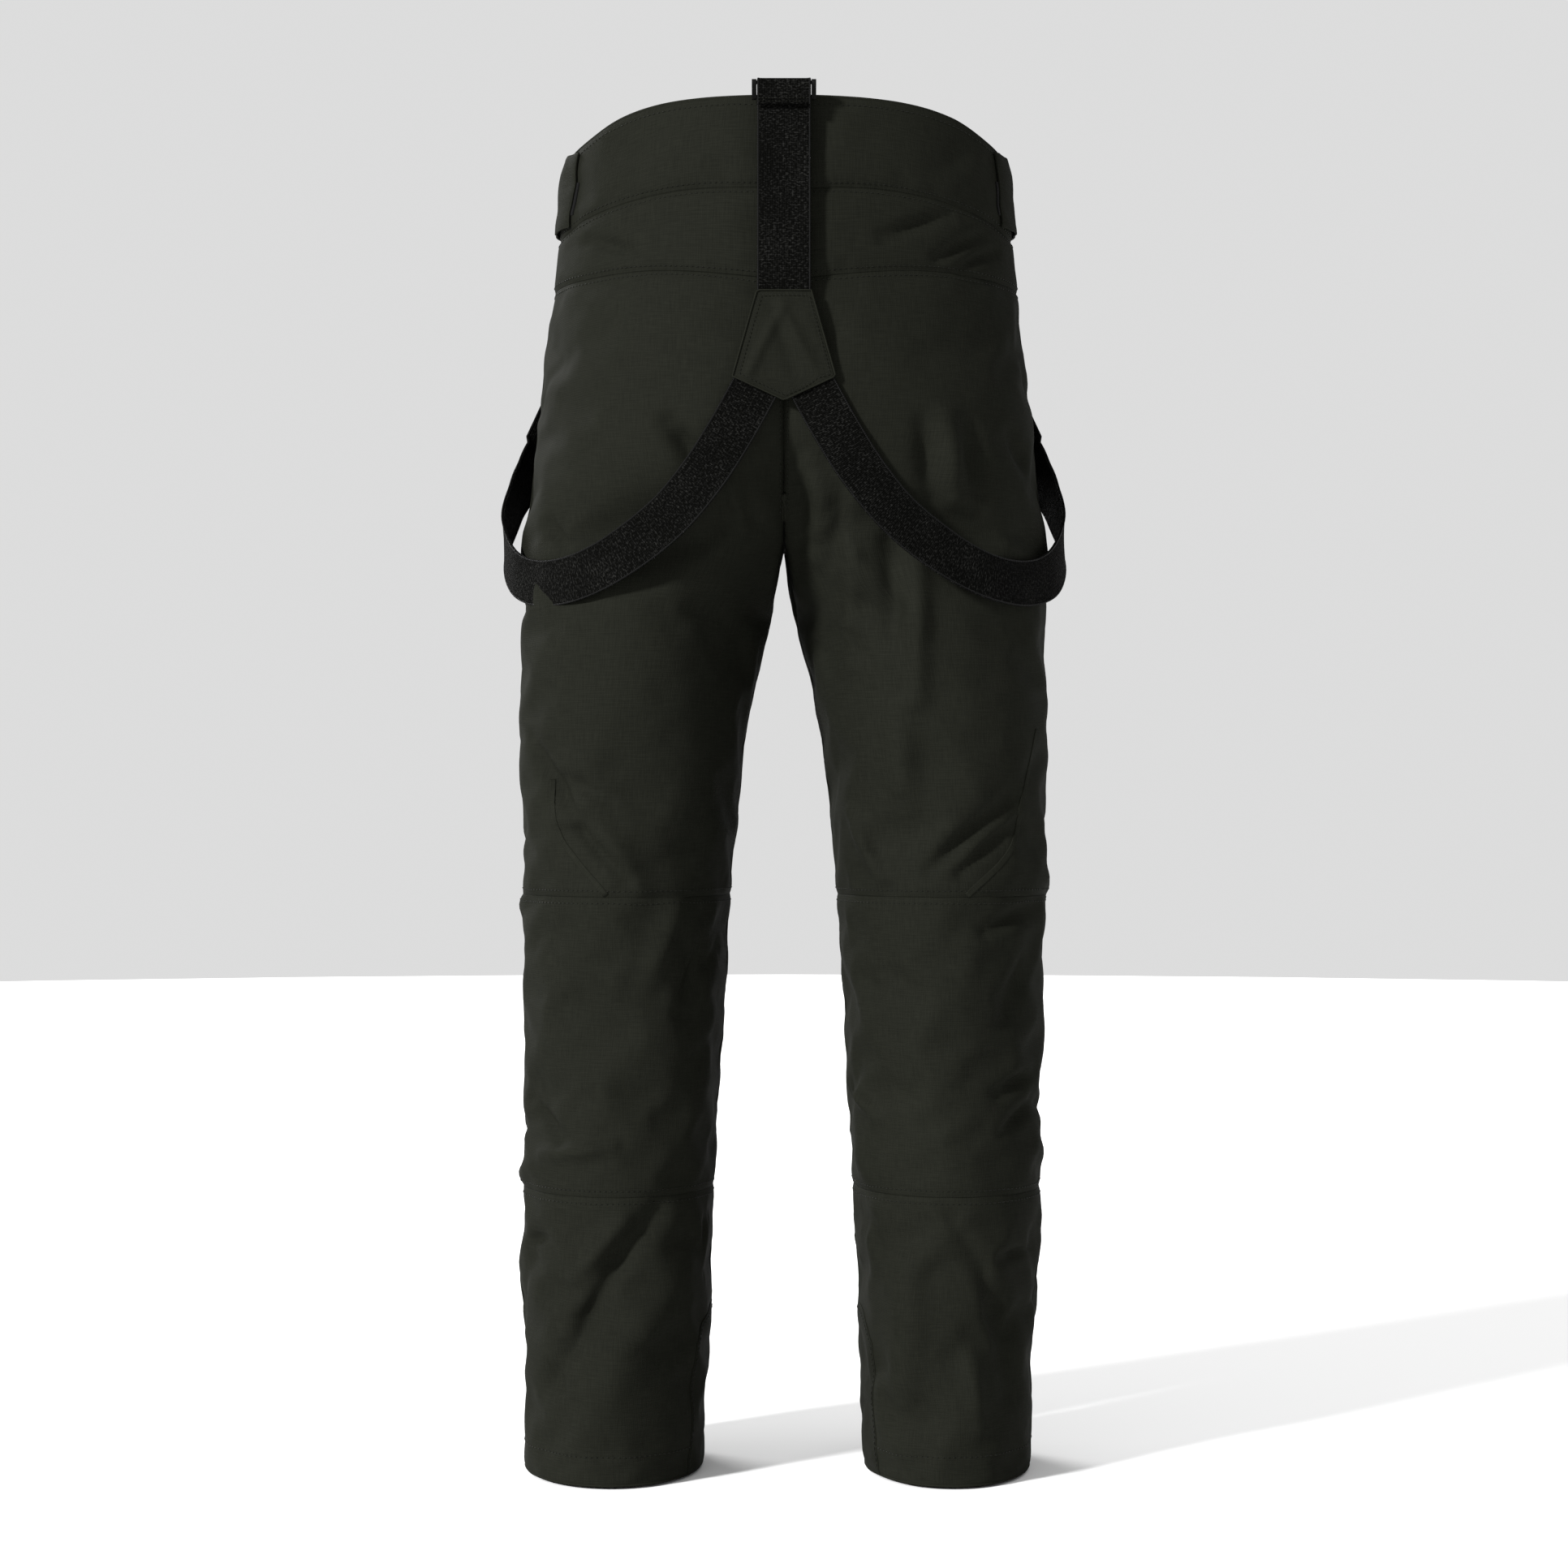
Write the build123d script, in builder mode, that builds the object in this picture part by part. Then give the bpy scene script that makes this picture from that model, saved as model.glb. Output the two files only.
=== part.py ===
"""Insulated ski pants with hanging elastic braces, as separate sewn pieces.

Millimetres.  +Z up, hem at z = 0, the wearer's front faces -Y and the wearer's left is +X.
Each garment piece is cut from a thin ruled shell; the right-hand pieces mirror the left ones.
"""
from build123d import *
from collections import namedtuple
from math import acos, cos, pi, sin, sqrt
import os

# ---------------------------------------------------------------- heights, hem to waist
knee_bottom = 224.0            # lower knee seam
knee_top = 456.0               # upper knee seam
thigh_height = 590.0           # widest part of the thigh
inseam = 731.0                 # hem to crotch
crotch_blend = 6.0             # height over which the two legs join
hip_rise = 45.0                # crotch to hip line
seat_rise = 100.0              # crotch to the fullest part of the seat
yoke_rise = 199.0              # crotch to the yoke seam
waist_rise = 265.0             # crotch to the back waist seam
front_seam_drop = 12.0         # the front waist seam sits this much lower
band_back = 75.0               # back waistband height at the centre
waist_tilt = 0.2               # fall of the waist opening from back to front
run_past = 12.0                # cutting solids run this far past the garment

# ---------------------------------------------------------------- half widths and depths
hem_outer, hem_inner, hem_depth = 202.0, 62.0, 97.0
calf_outer, calf_inner, calf_depth = 206.0, 56.0, 98.0
knee_outer, knee_inner, knee_depth = 208.0, 43.0, 103.0
thigh_outer, thigh_inner, thigh_depth = 210.0, 28.0, 113.0
crotch_outer, crotch_gap, crotch_depth = 208.0, 0.6, 118.0
hip_outer, hip_back = 202.0, 134.0
seat_outer, seat_back = 196.0, 146.0
waist_outer, waist_back = 179.0, 131.0
top_outer, top_back = 168.0, 124.0
belly = 120.0                  # front depth from hips to waist
leg_centre = 90.0              # middle of a leg just above the crotch
hip_centre = 76.0              # the halves merge into one oval from here ...
seat_centre = 40.0             # ... to here

# ---------------------------------------------------------------- cloth and trim
cloth = 1.0                    # outer shell
lining_depth = 5.0             # padding between shell and lining
lining_cloth = 1.2
seam_gap = 0.4                 # between pieces that move apart
clearance = 0.3                # running clearance of sliders and snaps
close_fit = 0.2                # cloth wrapped round a bar or laid on the shell
patch = 0.8                    # scuff guards, hook-and-loop patches
tab_cloth = 1.6                # folded tabs
gaiter_top, gaiter_bottom, gaiter_taper = 196.0, 30.0, 14.0
gripper_height, gripper_thick = 18.0, 1.6
scuff_height, scuff_reach = 130.0, 62.0
bag_thick, bag_gap, bag_drop, bag_width = 1.8, 0.8, 60.0, 96.0
kidney_cloth = 2.4
gaiter_cloth = 1.0

# ---------------------------------------------------------------- zips
chain_width, chain_thick = 5.0, 1.6
tape_width, tape_thick = 13.0, 0.8
zip_window = 14.0              # opening in the shell for a zip
slider_width, slider_length, slider_plate = 9.0, 12.0, 1.2
bail_radius, bail_height = 0.8, 2.6
bail_ear, ear_length = 1.2, 3.4
slider_drop = 2.0              # slider below the top of its zip
end_stop = 2.0                 # chain stops short of the tape by this much
eye_wall = 0.8
puller_width, puller_length, puller_thick = 5.0, 26.0, 1.6
fly_length = 128.0
pocket_length = 146.0
pocket_top_x, pocket_bottom_x = 86.0, 100.0

# ---------------------------------------------------------------- tabs and snaps
side_tab_front, side_tab_back = -44.0, 46.0
side_tab_drop, side_tab_height = 6.0, 56.0
loop_patch_width, patch_margin = 34.0, 12.0
seam_margin = 4.0              # zips and tabs keep this far from the waist seam
closure_reach, closure_overlap, closure_height = 30.0, 34.0, 28.0
snap_radius, stud_height = 3.0, 1.4
snap_cap_radius, snap_cap_thick = 6.5, 1.0
snap_places = (-8.0, -24.0)

# ---------------------------------------------------------------- braces
strap_width, strap_thick = 36.0, 1.6
back_strap_width = 41.0
bar_radius = 1.5
buckle_stand = 14.0            # strap bar behind the top edge of the waistband
bar_gap = 7.5                  # front-to-back distance between the buckle's bars
buckle_width, buckle_end, buckle_plate = 49.0, 3.6, 5.0
buckle_rise = 6.0              # strap bar above the top edge of the waistband
tab_bar_drop = 3.5             # tab bar below it
strap_drop = 160.0             # elastic from the buckle down to the Y patch
yoke_patch_height = 83.0
yoke_patch_shoulder = 65.0     # from the top of the Y patch to its corners
yoke_patch_width = 78.0
strap_stand = 10.0             # the hanging strap stands this far off the seat
fold_length = 17.0             # sewn end of the back strap
ring_width, ring_thick = 46.0, 3.0
anchor_width = 24.0
slide_block, rail = 26.0, 3.0  # length of a brace adjuster along the strap, and its side rails
adjuster_share = 0.45          # how far up the front strap the adjuster sits
ring_length = 14.0
ring_lap = 4.0                 # the strap and the anchor lap the ring's bars by this much
anchor_rise, anchor_lean = 8.0, 12.0
hang_loop_reach, hang_loop_height, hang_loop_thick = 26.0, 8.0, 1.2
hang_loop_slack = 6.0          # the loop stands this far off the lining

# ---------------------------------------------------------------- worked-out places
seat_height = inseam + seat_rise
yoke_seam = inseam + yoke_rise
waist_seam = inseam + waist_rise
front_seam = waist_seam - front_seam_drop
waist_top = waist_seam + band_back
wide = 2 * (max(thigh_outer, waist_outer, seat_outer) + 60)
deep = 2 * (max(seat_back, belly, crotch_depth) + 60)

Level = namedtuple("Level", "z outer inner centre front back")


def leg_level(z, outer, inner, depth):
    """A height where the leg is a closed oval of its own."""
    return Level(z, outer, inner, (outer + inner) / 2, depth, depth)


def trunk_level(z, outer, centre, front, back):
    """A height where the left half is open towards the middle of the body."""
    return Level(z, outer, None, centre, front, back)


LEVELS = (
    leg_level(-run_past, hem_outer, hem_inner, hem_depth),
    leg_level(0, hem_outer, hem_inner, hem_depth),
    leg_level(knee_bottom, calf_outer, calf_inner, calf_depth),
    leg_level(knee_top, knee_outer, knee_inner, knee_depth),
    leg_level(thigh_height, thigh_outer, thigh_inner, thigh_depth),
    leg_level(inseam, crotch_outer, crotch_gap, crotch_depth),
    trunk_level(inseam + crotch_blend, crotch_outer, leg_centre, crotch_depth, crotch_depth),
    trunk_level(inseam + hip_rise, hip_outer, hip_centre, belly, hip_back),
    trunk_level(seat_height, seat_outer, seat_centre, belly, seat_back),
    trunk_level(waist_seam, waist_outer, 0, belly, waist_back),
    trunk_level(waist_top, top_outer, 0, belly, top_back),
    trunk_level(waist_top + run_past, top_outer, 0, belly, top_back),
)


def level_at(z):
    """The garment's level at any height, between the two levels beside it."""
    below = max((level for level in LEVELS if level.z <= z), key=lambda level: level.z)
    above = min((level for level in LEVELS if level.z > z), key=lambda level: level.z)
    share = (z - below.z) / (above.z - below.z)
    mixed = [a if a is None or b is None else a + (b - a) * share for a, b in zip(below, above)]
    return Level(*mixed)


def outline_points(level, inset):
    """Seven points of the big outer curve and the middle of the short inner edge."""
    outer = level.outer - inset
    if level.inner is None:
        open_edge = 2.0 if inset > 0 else 0.0
        radius = outer - level.centre
        reach = acos(max(-1.0, -(level.centre + open_edge) / radius))
        middle = -open_edge
    else:
        radius = outer - level.centre
        reach = pi * 5 / 6
        middle = level.inner + inset
    points = []
    for step in range(7):
        angle = reach * (step / 3 - 1)
        depth = (level.front if angle < 0 else level.back) - inset
        points.append((level.centre + radius * cos(angle), depth * sin(angle)))
    return points, (middle, 0.0)


def front_surface(x, z):
    """Y of the front of the shell at a place above the seat line."""
    level = level_at(z)
    return -level.front * sqrt(1 - ((x - level.centre) / (level.outer - level.centre)) ** 2)


def back_surface(z):
    """Y of the centre back above the seat line."""
    level = level_at(z)
    return level.back * sqrt(1 - (level.centre / (level.outer - level.centre)) ** 2)


def left_half(inset, levels=LEVELS):
    """Closed solid of the left half, moved in from the outer face by the inset."""
    with BuildPart() as half:
        for level in levels:
            points, middle = outline_points(level, inset)
            with BuildSketch(Plane.XY.offset(level.z)):
                with BuildLine():
                    Spline(*points)
                    Spline(points[-1], middle, points[0])
                make_face()
        loft(ruled=True)
    return half.part


def left_shell(inset, thickness):
    """Wall of the left half between two insets."""
    with BuildPart() as shell:
        add(left_half(inset))
        add(left_half(inset + thickness), mode=Mode.SUBTRACT)
    return shell.part


def cut_piece(shell, x_range, y_range, z_range):
    """The part of a shell inside a box."""
    spans = [high - low for low, high in (x_range, y_range, z_range)]
    middle = [(high + low) / 2 for low, high in (x_range, y_range, z_range)]
    with BuildPart() as piece:
        add(shell)
        with Locations(Location(tuple(middle))):
            Box(*spans, mode=Mode.INTERSECT)
    return piece.part


def both_halves(part):
    """One piece across the middle, from its left half."""
    with BuildPart() as whole:
        add(part)
        add(mirror(part, about=Plane.YZ))
    return whole.part


def save(part, name):
    part.label = name
    export_step(part, f"parts/{name}.step")


def save_pair(part, name):
    """Write a left piece and its mirrored right piece."""
    save(part, f"{name}_left")
    save(mirror(part, about=Plane.YZ), f"{name}_right")


def ribbon(points, width, thickness, across=Vector(0, 0, 1)):
    """Flat strap through points, its width kept as near as it can be to one direction."""
    places = [Vector(*point) for point in points]
    with BuildPart() as strap:
        for index, place in enumerate(places):
            before = places[max(index - 1, 0)]
            after = places[min(index + 1, len(places) - 1)]
            along = (after - before).normalized()
            side = (across - along * across.dot(along)).normalized()
            with BuildSketch(Plane(origin=place, x_dir=side, z_dir=along)):
                Rectangle(width, thickness)
        loft(ruled=True)
    return strap.part


os.makedirs("parts", exist_ok=True)

# ================================================================ outer shell
shell = left_shell(0, cloth)
left = (0, wide / 2)
back = (0, deep / 2)
front = (-deep / 2, 0)
top_plane = Plane(
    origin=(0, waist_back, waist_top + waist_tilt * (waist_back - top_back)),
    x_dir=(1, 0, 0),
    z_dir=(0, -waist_tilt, 1),
)


def below_waist_edge(part):
    """The part below the tilted waist opening."""
    with BuildPart() as trimmed:
        add(part)
        split(bisect_by=top_plane, keep=Keep.BOTTOM)
    return trimmed.part


band_back_left = cut_piece(shell, left, back, (waist_seam, waist_top + run_past))
save(both_halves(below_waist_edge(band_back_left)), "waistband_back")
yoke_left = cut_piece(shell, left, back, (yoke_seam, waist_seam))
save(both_halves(yoke_left), "back_yoke")
save_pair(cut_piece(shell, left, back, (knee_top, yoke_seam)), "back_panel")
save_pair(cut_piece(shell, left, back, (knee_bottom + seam_gap, knee_top)), "knee_back")
save_pair(cut_piece(shell, left, front, (knee_bottom + seam_gap, knee_top)), "knee_front")
save_pair(cut_piece(shell, left, back, (0, knee_bottom)), "calf_panel")
save_pair(cut_piece(shell, left, front, (0, knee_bottom)), "shin_panel")

# ================================================================ zips
fly_top = front_seam - seam_margin
fly_plane = Plane(origin=(0, -belly, fly_top), x_dir=(1, 0, 0), z_dir=(0, -1, 0))

pocket_top_z = front_seam - seam_margin
pocket_bottom_z = pocket_top_z - pocket_length
pocket_top = Vector(pocket_top_x, front_surface(pocket_top_x, pocket_top_z), pocket_top_z)
pocket_bottom = Vector(
    pocket_bottom_x, front_surface(pocket_bottom_x, pocket_bottom_z), pocket_bottom_z
)
pocket_up = (pocket_top - pocket_bottom).normalized()
surface_step = 4.0
pocket_slope = front_surface(pocket_top_x + surface_step, pocket_top_z) - pocket_top.Y
pocket_across = Vector(surface_step, pocket_slope, 0).normalized()
pocket_across = (pocket_across - pocket_up * pocket_across.dot(pocket_up)).normalized()
pocket_plane = Plane(
    origin=pocket_top, x_dir=pocket_across, z_dir=pocket_across.cross(pocket_up)
)


def zip_opening(plane, length):
    """Solid that cuts the shell open for a zip."""
    with BuildPart(plane) as opening:
        with Locations((0, -length / 2, 0)):
            Box(zip_window, length, 6 * cloth + 2 * tape_thick)
    return opening.part


def zip_strip(plane, length):
    """Tape, closed chain and the two end stops."""
    with BuildPart(plane) as strip:
        with Locations((0, -length / 2, -tape_thick / 2)):
            Box(tape_width, length - 2 * seam_gap, tape_thick)
        with Locations((0, -length / 2, chain_thick / 2)):
            Box(chain_width, length - 2 * end_stop, chain_thick)
    return strip.part


def zip_slider(plane):
    """Channel over the chain with two ears and a cross bar for the puller."""
    inside = chain_width / 2 + clearance
    floor = chain_thick + clearance
    with BuildPart(plane) as slider:
        with Locations((0, -slider_length / 2 - slider_drop, floor + slider_plate / 2)):
            Box(slider_width, slider_length, slider_plate)
        with Locations(
            ((slider_width / 2 + inside) / 2, -slider_length / 2 - slider_drop, (floor + clearance) / 2),
            (-(slider_width / 2 + inside) / 2, -slider_length / 2 - slider_drop, (floor + clearance) / 2),
        ):
            Box(slider_width / 2 - inside, slider_length, floor - clearance)
        ear = puller_width / 2 + clearance + bail_ear / 2
        with Locations(
            (ear, -slider_length / 2 - slider_drop, floor + slider_plate + bail_height / 2),
            (-ear, -slider_length / 2 - slider_drop, floor + slider_plate + bail_height / 2),
        ):
            Box(bail_ear, ear_length, bail_height + 2 * bail_radius)
        with Locations(
            Location((0, -slider_length / 2 - slider_drop, floor + slider_plate + bail_height), (0, 90, 0))
        ):
            Cylinder(bail_radius, 2 * ear)
    return slider.part


def zip_puller(plane):
    """Eye round the slider's cross bar and a flat pull hanging from it."""
    floor = chain_thick + clearance + slider_plate + bail_height
    eye = bail_radius + clearance / 2
    with BuildPart(plane) as puller:
        with Locations(Location((0, -slider_length / 2 - slider_drop, floor), (0, 90, 0))):
            Cylinder(eye + eye_wall, puller_width)
        with Locations((0, -slider_length / 2 - slider_drop - eye - puller_length / 2, floor)):
            Box(puller_width, puller_length, puller_thick)
        with Locations(Location((0, -slider_length / 2 - slider_drop, floor), (0, 90, 0))):
            Cylinder(eye, 2 * puller_width, mode=Mode.SUBTRACT)
    return puller.part


save(zip_strip(fly_plane, fly_length), "fly_zip")
save(zip_slider(fly_plane), "fly_slider")
save(zip_puller(fly_plane), "fly_puller")
save_pair(zip_strip(pocket_plane, pocket_length), "pocket_zip")
save_pair(zip_slider(pocket_plane), "pocket_slider")
save_pair(zip_puller(pocket_plane), "pocket_puller")

with BuildPart() as front_panel:
    add(cut_piece(shell, left, front, (knee_top, front_seam)))
    add(zip_opening(fly_plane, fly_length), mode=Mode.SUBTRACT)
    add(zip_opening(pocket_plane, pocket_length), mode=Mode.SUBTRACT)
save_pair(front_panel.part, "front_panel")

bag_shell = left_shell(cloth + bag_gap, bag_thick)
bag_middle = (pocket_top_x + pocket_bottom_x) / 2
bag = cut_piece(
    bag_shell,
    (bag_middle - bag_width / 2, bag_middle + bag_width / 2),
    (-deep / 2, -belly / 4),
    (pocket_bottom_z - bag_drop / 2, pocket_top_z - bag_drop / 2),
)
save_pair(bag, "pocket_bag")

# ================================================================ waistband front and tabs
band_front = below_waist_edge(cut_piece(shell, left, front, (front_seam, waist_top + run_past)))
save_pair(band_front, "waistband_front")

loop_shell = left_shell(-patch, patch)
tab_shell = left_shell(-patch - clearance - tab_cloth, tab_cloth)
tab_floor = waist_seam - side_tab_drop
tab_span = (tab_floor, tab_floor + side_tab_height)
loop_patch = cut_piece(
    loop_shell,
    left,
    (side_tab_back - loop_patch_width + patch_margin, side_tab_back + patch_margin),
    (tab_span[0] + patch_margin / 2, tab_span[1] - patch_margin),
)
save_pair(loop_patch, "side_loop_patch")
side_tab = below_waist_edge(
    cut_piece(tab_shell, left, (side_tab_front, side_tab_back), tab_span)
)
save_pair(side_tab, "side_tab")

closure_floor = front_seam + seam_margin
closure_middle = closure_floor + closure_height / 2
tab_face = -belly - cloth - stud_height - clearance
with BuildPart() as closure_tab:
    with Locations(((closure_reach - closure_overlap) / 2, tab_face - tab_cloth / 2, closure_middle)):
        Box(closure_reach + closure_overlap, tab_cloth, closure_height)
    fillet(closure_tab.edges().filter_by(Axis.Y).group_by(Axis.X)[0], closure_height / 3)
save(closure_tab.part, "closure_tab")

stud_spots = [Location((x, -belly, closure_middle), (90, 0, 0)) for x in snap_places]
with BuildPart() as closure_studs:
    with Locations(*stud_spots):
        Cylinder(
            snap_radius - clearance,
            stud_height + cloth,
            align=(Align.CENTER, Align.CENTER, Align.MIN),
        )
save(closure_studs.part, "closure_studs")
with BuildPart() as closure_snaps:
    with Locations(*[Location((x, tab_face - tab_cloth, closure_middle), (90, 0, 0))
                     for x in snap_places]):
        Cylinder(snap_cap_radius, snap_cap_thick, align=(Align.CENTER, Align.CENTER, Align.MIN))
save(closure_snaps.part, "closure_snaps")

# ================================================================ inside
lining = left_shell(lining_depth, lining_cloth)
save_pair(
    cut_piece(lining, left, (-deep / 2, deep / 2), (knee_top + seam_gap, front_seam - seam_gap)),
    "lining",
)
save_pair(
    cut_piece(lining, left, (-deep / 2, deep / 2), (gaiter_bottom, knee_bottom - seam_gap)),
    "lining_lower",
)
kidney_shell = left_shell(cloth + seam_gap, kidney_cloth)
kidney_left = below_waist_edge(
    cut_piece(kidney_shell, left, (20, deep / 2), (waist_seam, waist_top + run_past))
)
save(both_halves(kidney_left), "kidney_lining")

inner_face = cloth + seam_gap + kidney_cloth
loop_level = level_at(waist_top - 2.5 * hang_loop_height)
loop_end = (loop_level.back - inner_face) * sqrt(1 - (hang_loop_reach / loop_level.outer) ** 2)
loop_end -= seam_gap + hang_loop_thick
with BuildPart() as hang_loop:
    with BuildSketch(Plane.XY.offset(loop_level.z)):
        with BuildLine() as loop_path:
            Polyline(
                (-hang_loop_reach, loop_end),
                (-hang_loop_reach + hang_loop_height, loop_end - hang_loop_slack),
                (hang_loop_reach - hang_loop_height, loop_end - hang_loop_slack),
                (hang_loop_reach, loop_end),
            )
        trace(loop_path.line, line_width=hang_loop_thick)
    extrude(amount=hang_loop_height)
save(hang_loop.part, "hang_loop")


def gaiter_level(z, inset):
    """The leg's level at a height, drawn in by an inset."""
    leg = level_at(z)
    return leg_level(z, leg.outer - inset, leg.inner + inset, leg.front - inset)


gaiter_inset = lining_depth + lining_cloth + 1
gaiter_span = gaiter_top - gaiter_bottom


def gaiter_inset_at(z):
    """The gaiter narrows towards its elastic."""
    return gaiter_inset + gaiter_taper * (gaiter_top - z) / gaiter_span


def gaiter_tube(bottom, top, extra, thickness):
    """Tapered tube following the gaiter, moved in by an extra inset."""
    ends = [gaiter_level(z, gaiter_inset_at(z)) for z in (bottom, top)]
    cutters = [gaiter_level(z, gaiter_inset_at(z)) for z in (bottom - 1, top + 1)]
    with BuildPart() as tube:
        add(left_half(extra, ends))
        add(left_half(extra + thickness, cutters), mode=Mode.SUBTRACT)
    return tube.part


save_pair(gaiter_tube(gaiter_bottom, gaiter_top, 0, gaiter_cloth), "gaiter")
save_pair(
    gaiter_tube(gaiter_bottom, gaiter_bottom + gripper_height, gaiter_cloth, gripper_thick),
    "gaiter_elastic",
)
scuff_shell = left_shell(-patch, patch)
scuff = cut_piece(scuff_shell, (0, hem_inner + scuff_reach), (-deep / 2, deep / 2), (0, scuff_height))
save_pair(scuff, "scuff_guard")

# ================================================================ braces, back
band_edge = back_surface(waist_top - seam_gap)
bar_y = band_edge + buckle_stand
strap_bar = (bar_y, waist_top + buckle_rise)
tab_bar = (bar_y - bar_gap, waist_top - tab_bar_drop)
patch_top = strap_bar[1] - strap_drop
hang_y = back_surface(seat_height) + strap_stand
strap_path_radius = bar_radius + strap_thick / 2 + close_fit

bar_span = Vector(strap_bar[0] - tab_bar[0], strap_bar[1] - tab_bar[1], 0)
with BuildPart() as back_buckle:
    for spot in (strap_bar, tab_bar):
        with Locations(Location((0, *spot), (0, 90, 0))):
            Cylinder(bar_radius, buckle_width)
    with BuildSketch(Plane.YZ.offset(-buckle_width / 2)):
        with Locations(((strap_bar[0] + tab_bar[0]) / 2, (strap_bar[1] + tab_bar[1]) / 2)):
            SlotCenterToCenter(bar_span.length, buckle_plate, rotation=bar_span.get_angle(Vector(1, 0, 0)))
    extrude(amount=buckle_end)
    mirror(about=Plane.YZ)
save(back_buckle.part, "brace_back_buckle")

with BuildPart() as back_strap:
    with BuildSketch(Plane.YZ.offset(-back_strap_width / 2)):
        with BuildLine() as strap_path:
            Polyline(
                (hang_y, patch_top - 12),
                (hang_y, patch_top + 8),
                (strap_bar[0] + 4, waist_seam),
                (strap_bar[0] - strap_path_radius, strap_bar[1] - 14),
                (strap_bar[0] - strap_path_radius, strap_bar[1]),
            )
            ThreePointArc(
                (strap_bar[0] - strap_path_radius, strap_bar[1]),
                (strap_bar[0], strap_bar[1] + strap_path_radius),
                (strap_bar[0] + strap_path_radius, strap_bar[1]),
            )
            Line(
                (strap_bar[0] + strap_path_radius, strap_bar[1]),
                (strap_bar[0] + strap_path_radius, strap_bar[1] - fold_length),
            )
        trace(strap_path.line, line_width=strap_thick)
    extrude(amount=back_strap_width)
save(back_strap.part, "brace_back_strap")

tab_loop = bar_radius + tab_cloth / 2 + close_fit
with BuildPart() as back_tab:
    with BuildSketch(Plane.YZ.offset(-back_strap_width / 2)):
        with BuildLine() as tab_path:
            Polyline(
                (back_surface(waist_seam + 1) + tab_cloth / 2 + close_fit, waist_seam + 1),
                (tab_bar[0] - tab_loop, tab_bar[1] - 12),
                (tab_bar[0] - tab_loop, tab_bar[1]),
            )
            ThreePointArc(
                (tab_bar[0] - tab_loop, tab_bar[1]),
                (tab_bar[0], tab_bar[1] + tab_loop),
                (tab_bar[0] + tab_loop, tab_bar[1]),
            )
            Line(
                (tab_bar[0] + tab_loop, tab_bar[1]),
                (tab_bar[0] + tab_loop, tab_bar[1] - fold_length),
            )
        trace(tab_path.line, line_width=tab_cloth)
    extrude(amount=back_strap_width)
save(back_tab.part, "brace_back_tab")

corner_z = patch_top - yoke_patch_shoulder
tip_z = patch_top - yoke_patch_height
patch_face = hang_y + strap_thick / 2
with BuildPart() as y_patch:
    with BuildSketch(Plane.XZ.offset(-patch_face - tab_cloth)):
        with BuildLine():
            Polyline(
                (-back_strap_width / 2, patch_top),
                (back_strap_width / 2, patch_top),
                (yoke_patch_width / 2, corner_z),
                (0, tip_z),
                (-yoke_patch_width / 2, corner_z),
                close=True,
            )
        make_face()
    extrude(amount=tab_cloth)
save(y_patch.part, "brace_y_patch")

# ================================================================ braces, sides and front
strap_start = Vector(yoke_patch_width / 4 + 1, hang_y, (corner_z + tip_z) / 2 + 3)
front_low = Vector(198, -58, inseam + 84)
front_high = Vector(128, -96, front_seam - 9)
strap_along = (front_high - front_low).normalized()
strap_points = [
    strap_start,
    (40, hang_y, inseam + 80),
    (62, hang_y - 2, inseam + 46),
    (90, hang_y - 9, inseam + 14),
    (128, hang_y - 22, inseam - 14),
    (162, hang_y - 44, inseam - 29),
    (192, 74, inseam - 31),
    (213, 44, inseam - 20),
    (223, 8, inseam + 6),
    (217, -24, inseam + 39),
    (208, -44, inseam + 62),
    front_low,
    front_low + strap_along * 20,
    front_high,
]
save_pair(ribbon([tuple(point) for point in strap_points], strap_width, strap_thick), "brace_strap")

strap_side = (Vector(0, 0, 1) - strap_along * strap_along.Z).normalized()
strap_out = strap_side.cross(strap_along)
adjuster_place = front_low + strap_along * adjuster_share * (front_high - front_low).length
adjuster_plane = Plane(origin=adjuster_place, x_dir=strap_side, z_dir=strap_out)
rail_x = strap_width / 2 + clearance + rail / 2
face = strap_thick / 2 + clearance + ring_thick / 4
with BuildPart(adjuster_plane) as adjuster:
    with Locations((rail_x, 0, 0), (-rail_x, 0, 0)):
        Box(rail, slide_block, strap_thick + 2 * clearance + ring_thick)
    with Locations(
        (0, slide_block / 2 - rail / 2, face), (0, -slide_block / 2 + rail / 2, face), (0, 0, -face)
    ):
        Box(2 * rail_x, rail, ring_thick / 2)
save_pair(adjuster.part, "brace_adjuster")

ring_plane = Plane(
    origin=front_high - strap_out * (strap_thick + ring_thick) / 2, x_dir=strap_side, z_dir=strap_out
)
with BuildPart(ring_plane) as ring:
    with Locations((0, ring_length / 2 - ring_lap, 0)):
        Box(ring_width, ring_length, ring_thick)
        Box(ring_width - 2 * ring_thick, ring_length - 2 * ring_thick, 2 * ring_thick,
            mode=Mode.SUBTRACT)
save_pair(ring.part, "brace_ring")

anchor_start = front_high + strap_along * (ring_length - 2 * ring_lap)
anchor_x = front_high.X - anchor_lean
anchor_z = waist_seam + anchor_rise
anchor_points = [
    anchor_start,
    anchor_start + strap_along * ring_lap * 1.6,
    (anchor_x, front_surface(anchor_x, anchor_z) - tab_cloth - cloth, anchor_z),
]
anchor = ribbon(
    [tuple(point) for point in anchor_points], anchor_width, tab_cloth, across=strap_side
)
save_pair(anchor, "brace_anchor")

print("pocket top", pocket_top, "up", pocket_up, "across", pocket_across)
print("strap along", strap_along, "side", strap_side)
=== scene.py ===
"""Ski pants with hanging elastic braces: shell cloth, linings, trims and hardware round the CAD frame."""

import math

import bmesh
import bpy
from mathutils import Matrix, Vector, noise
from mathutils.bvhtree import BVHTree


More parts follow.
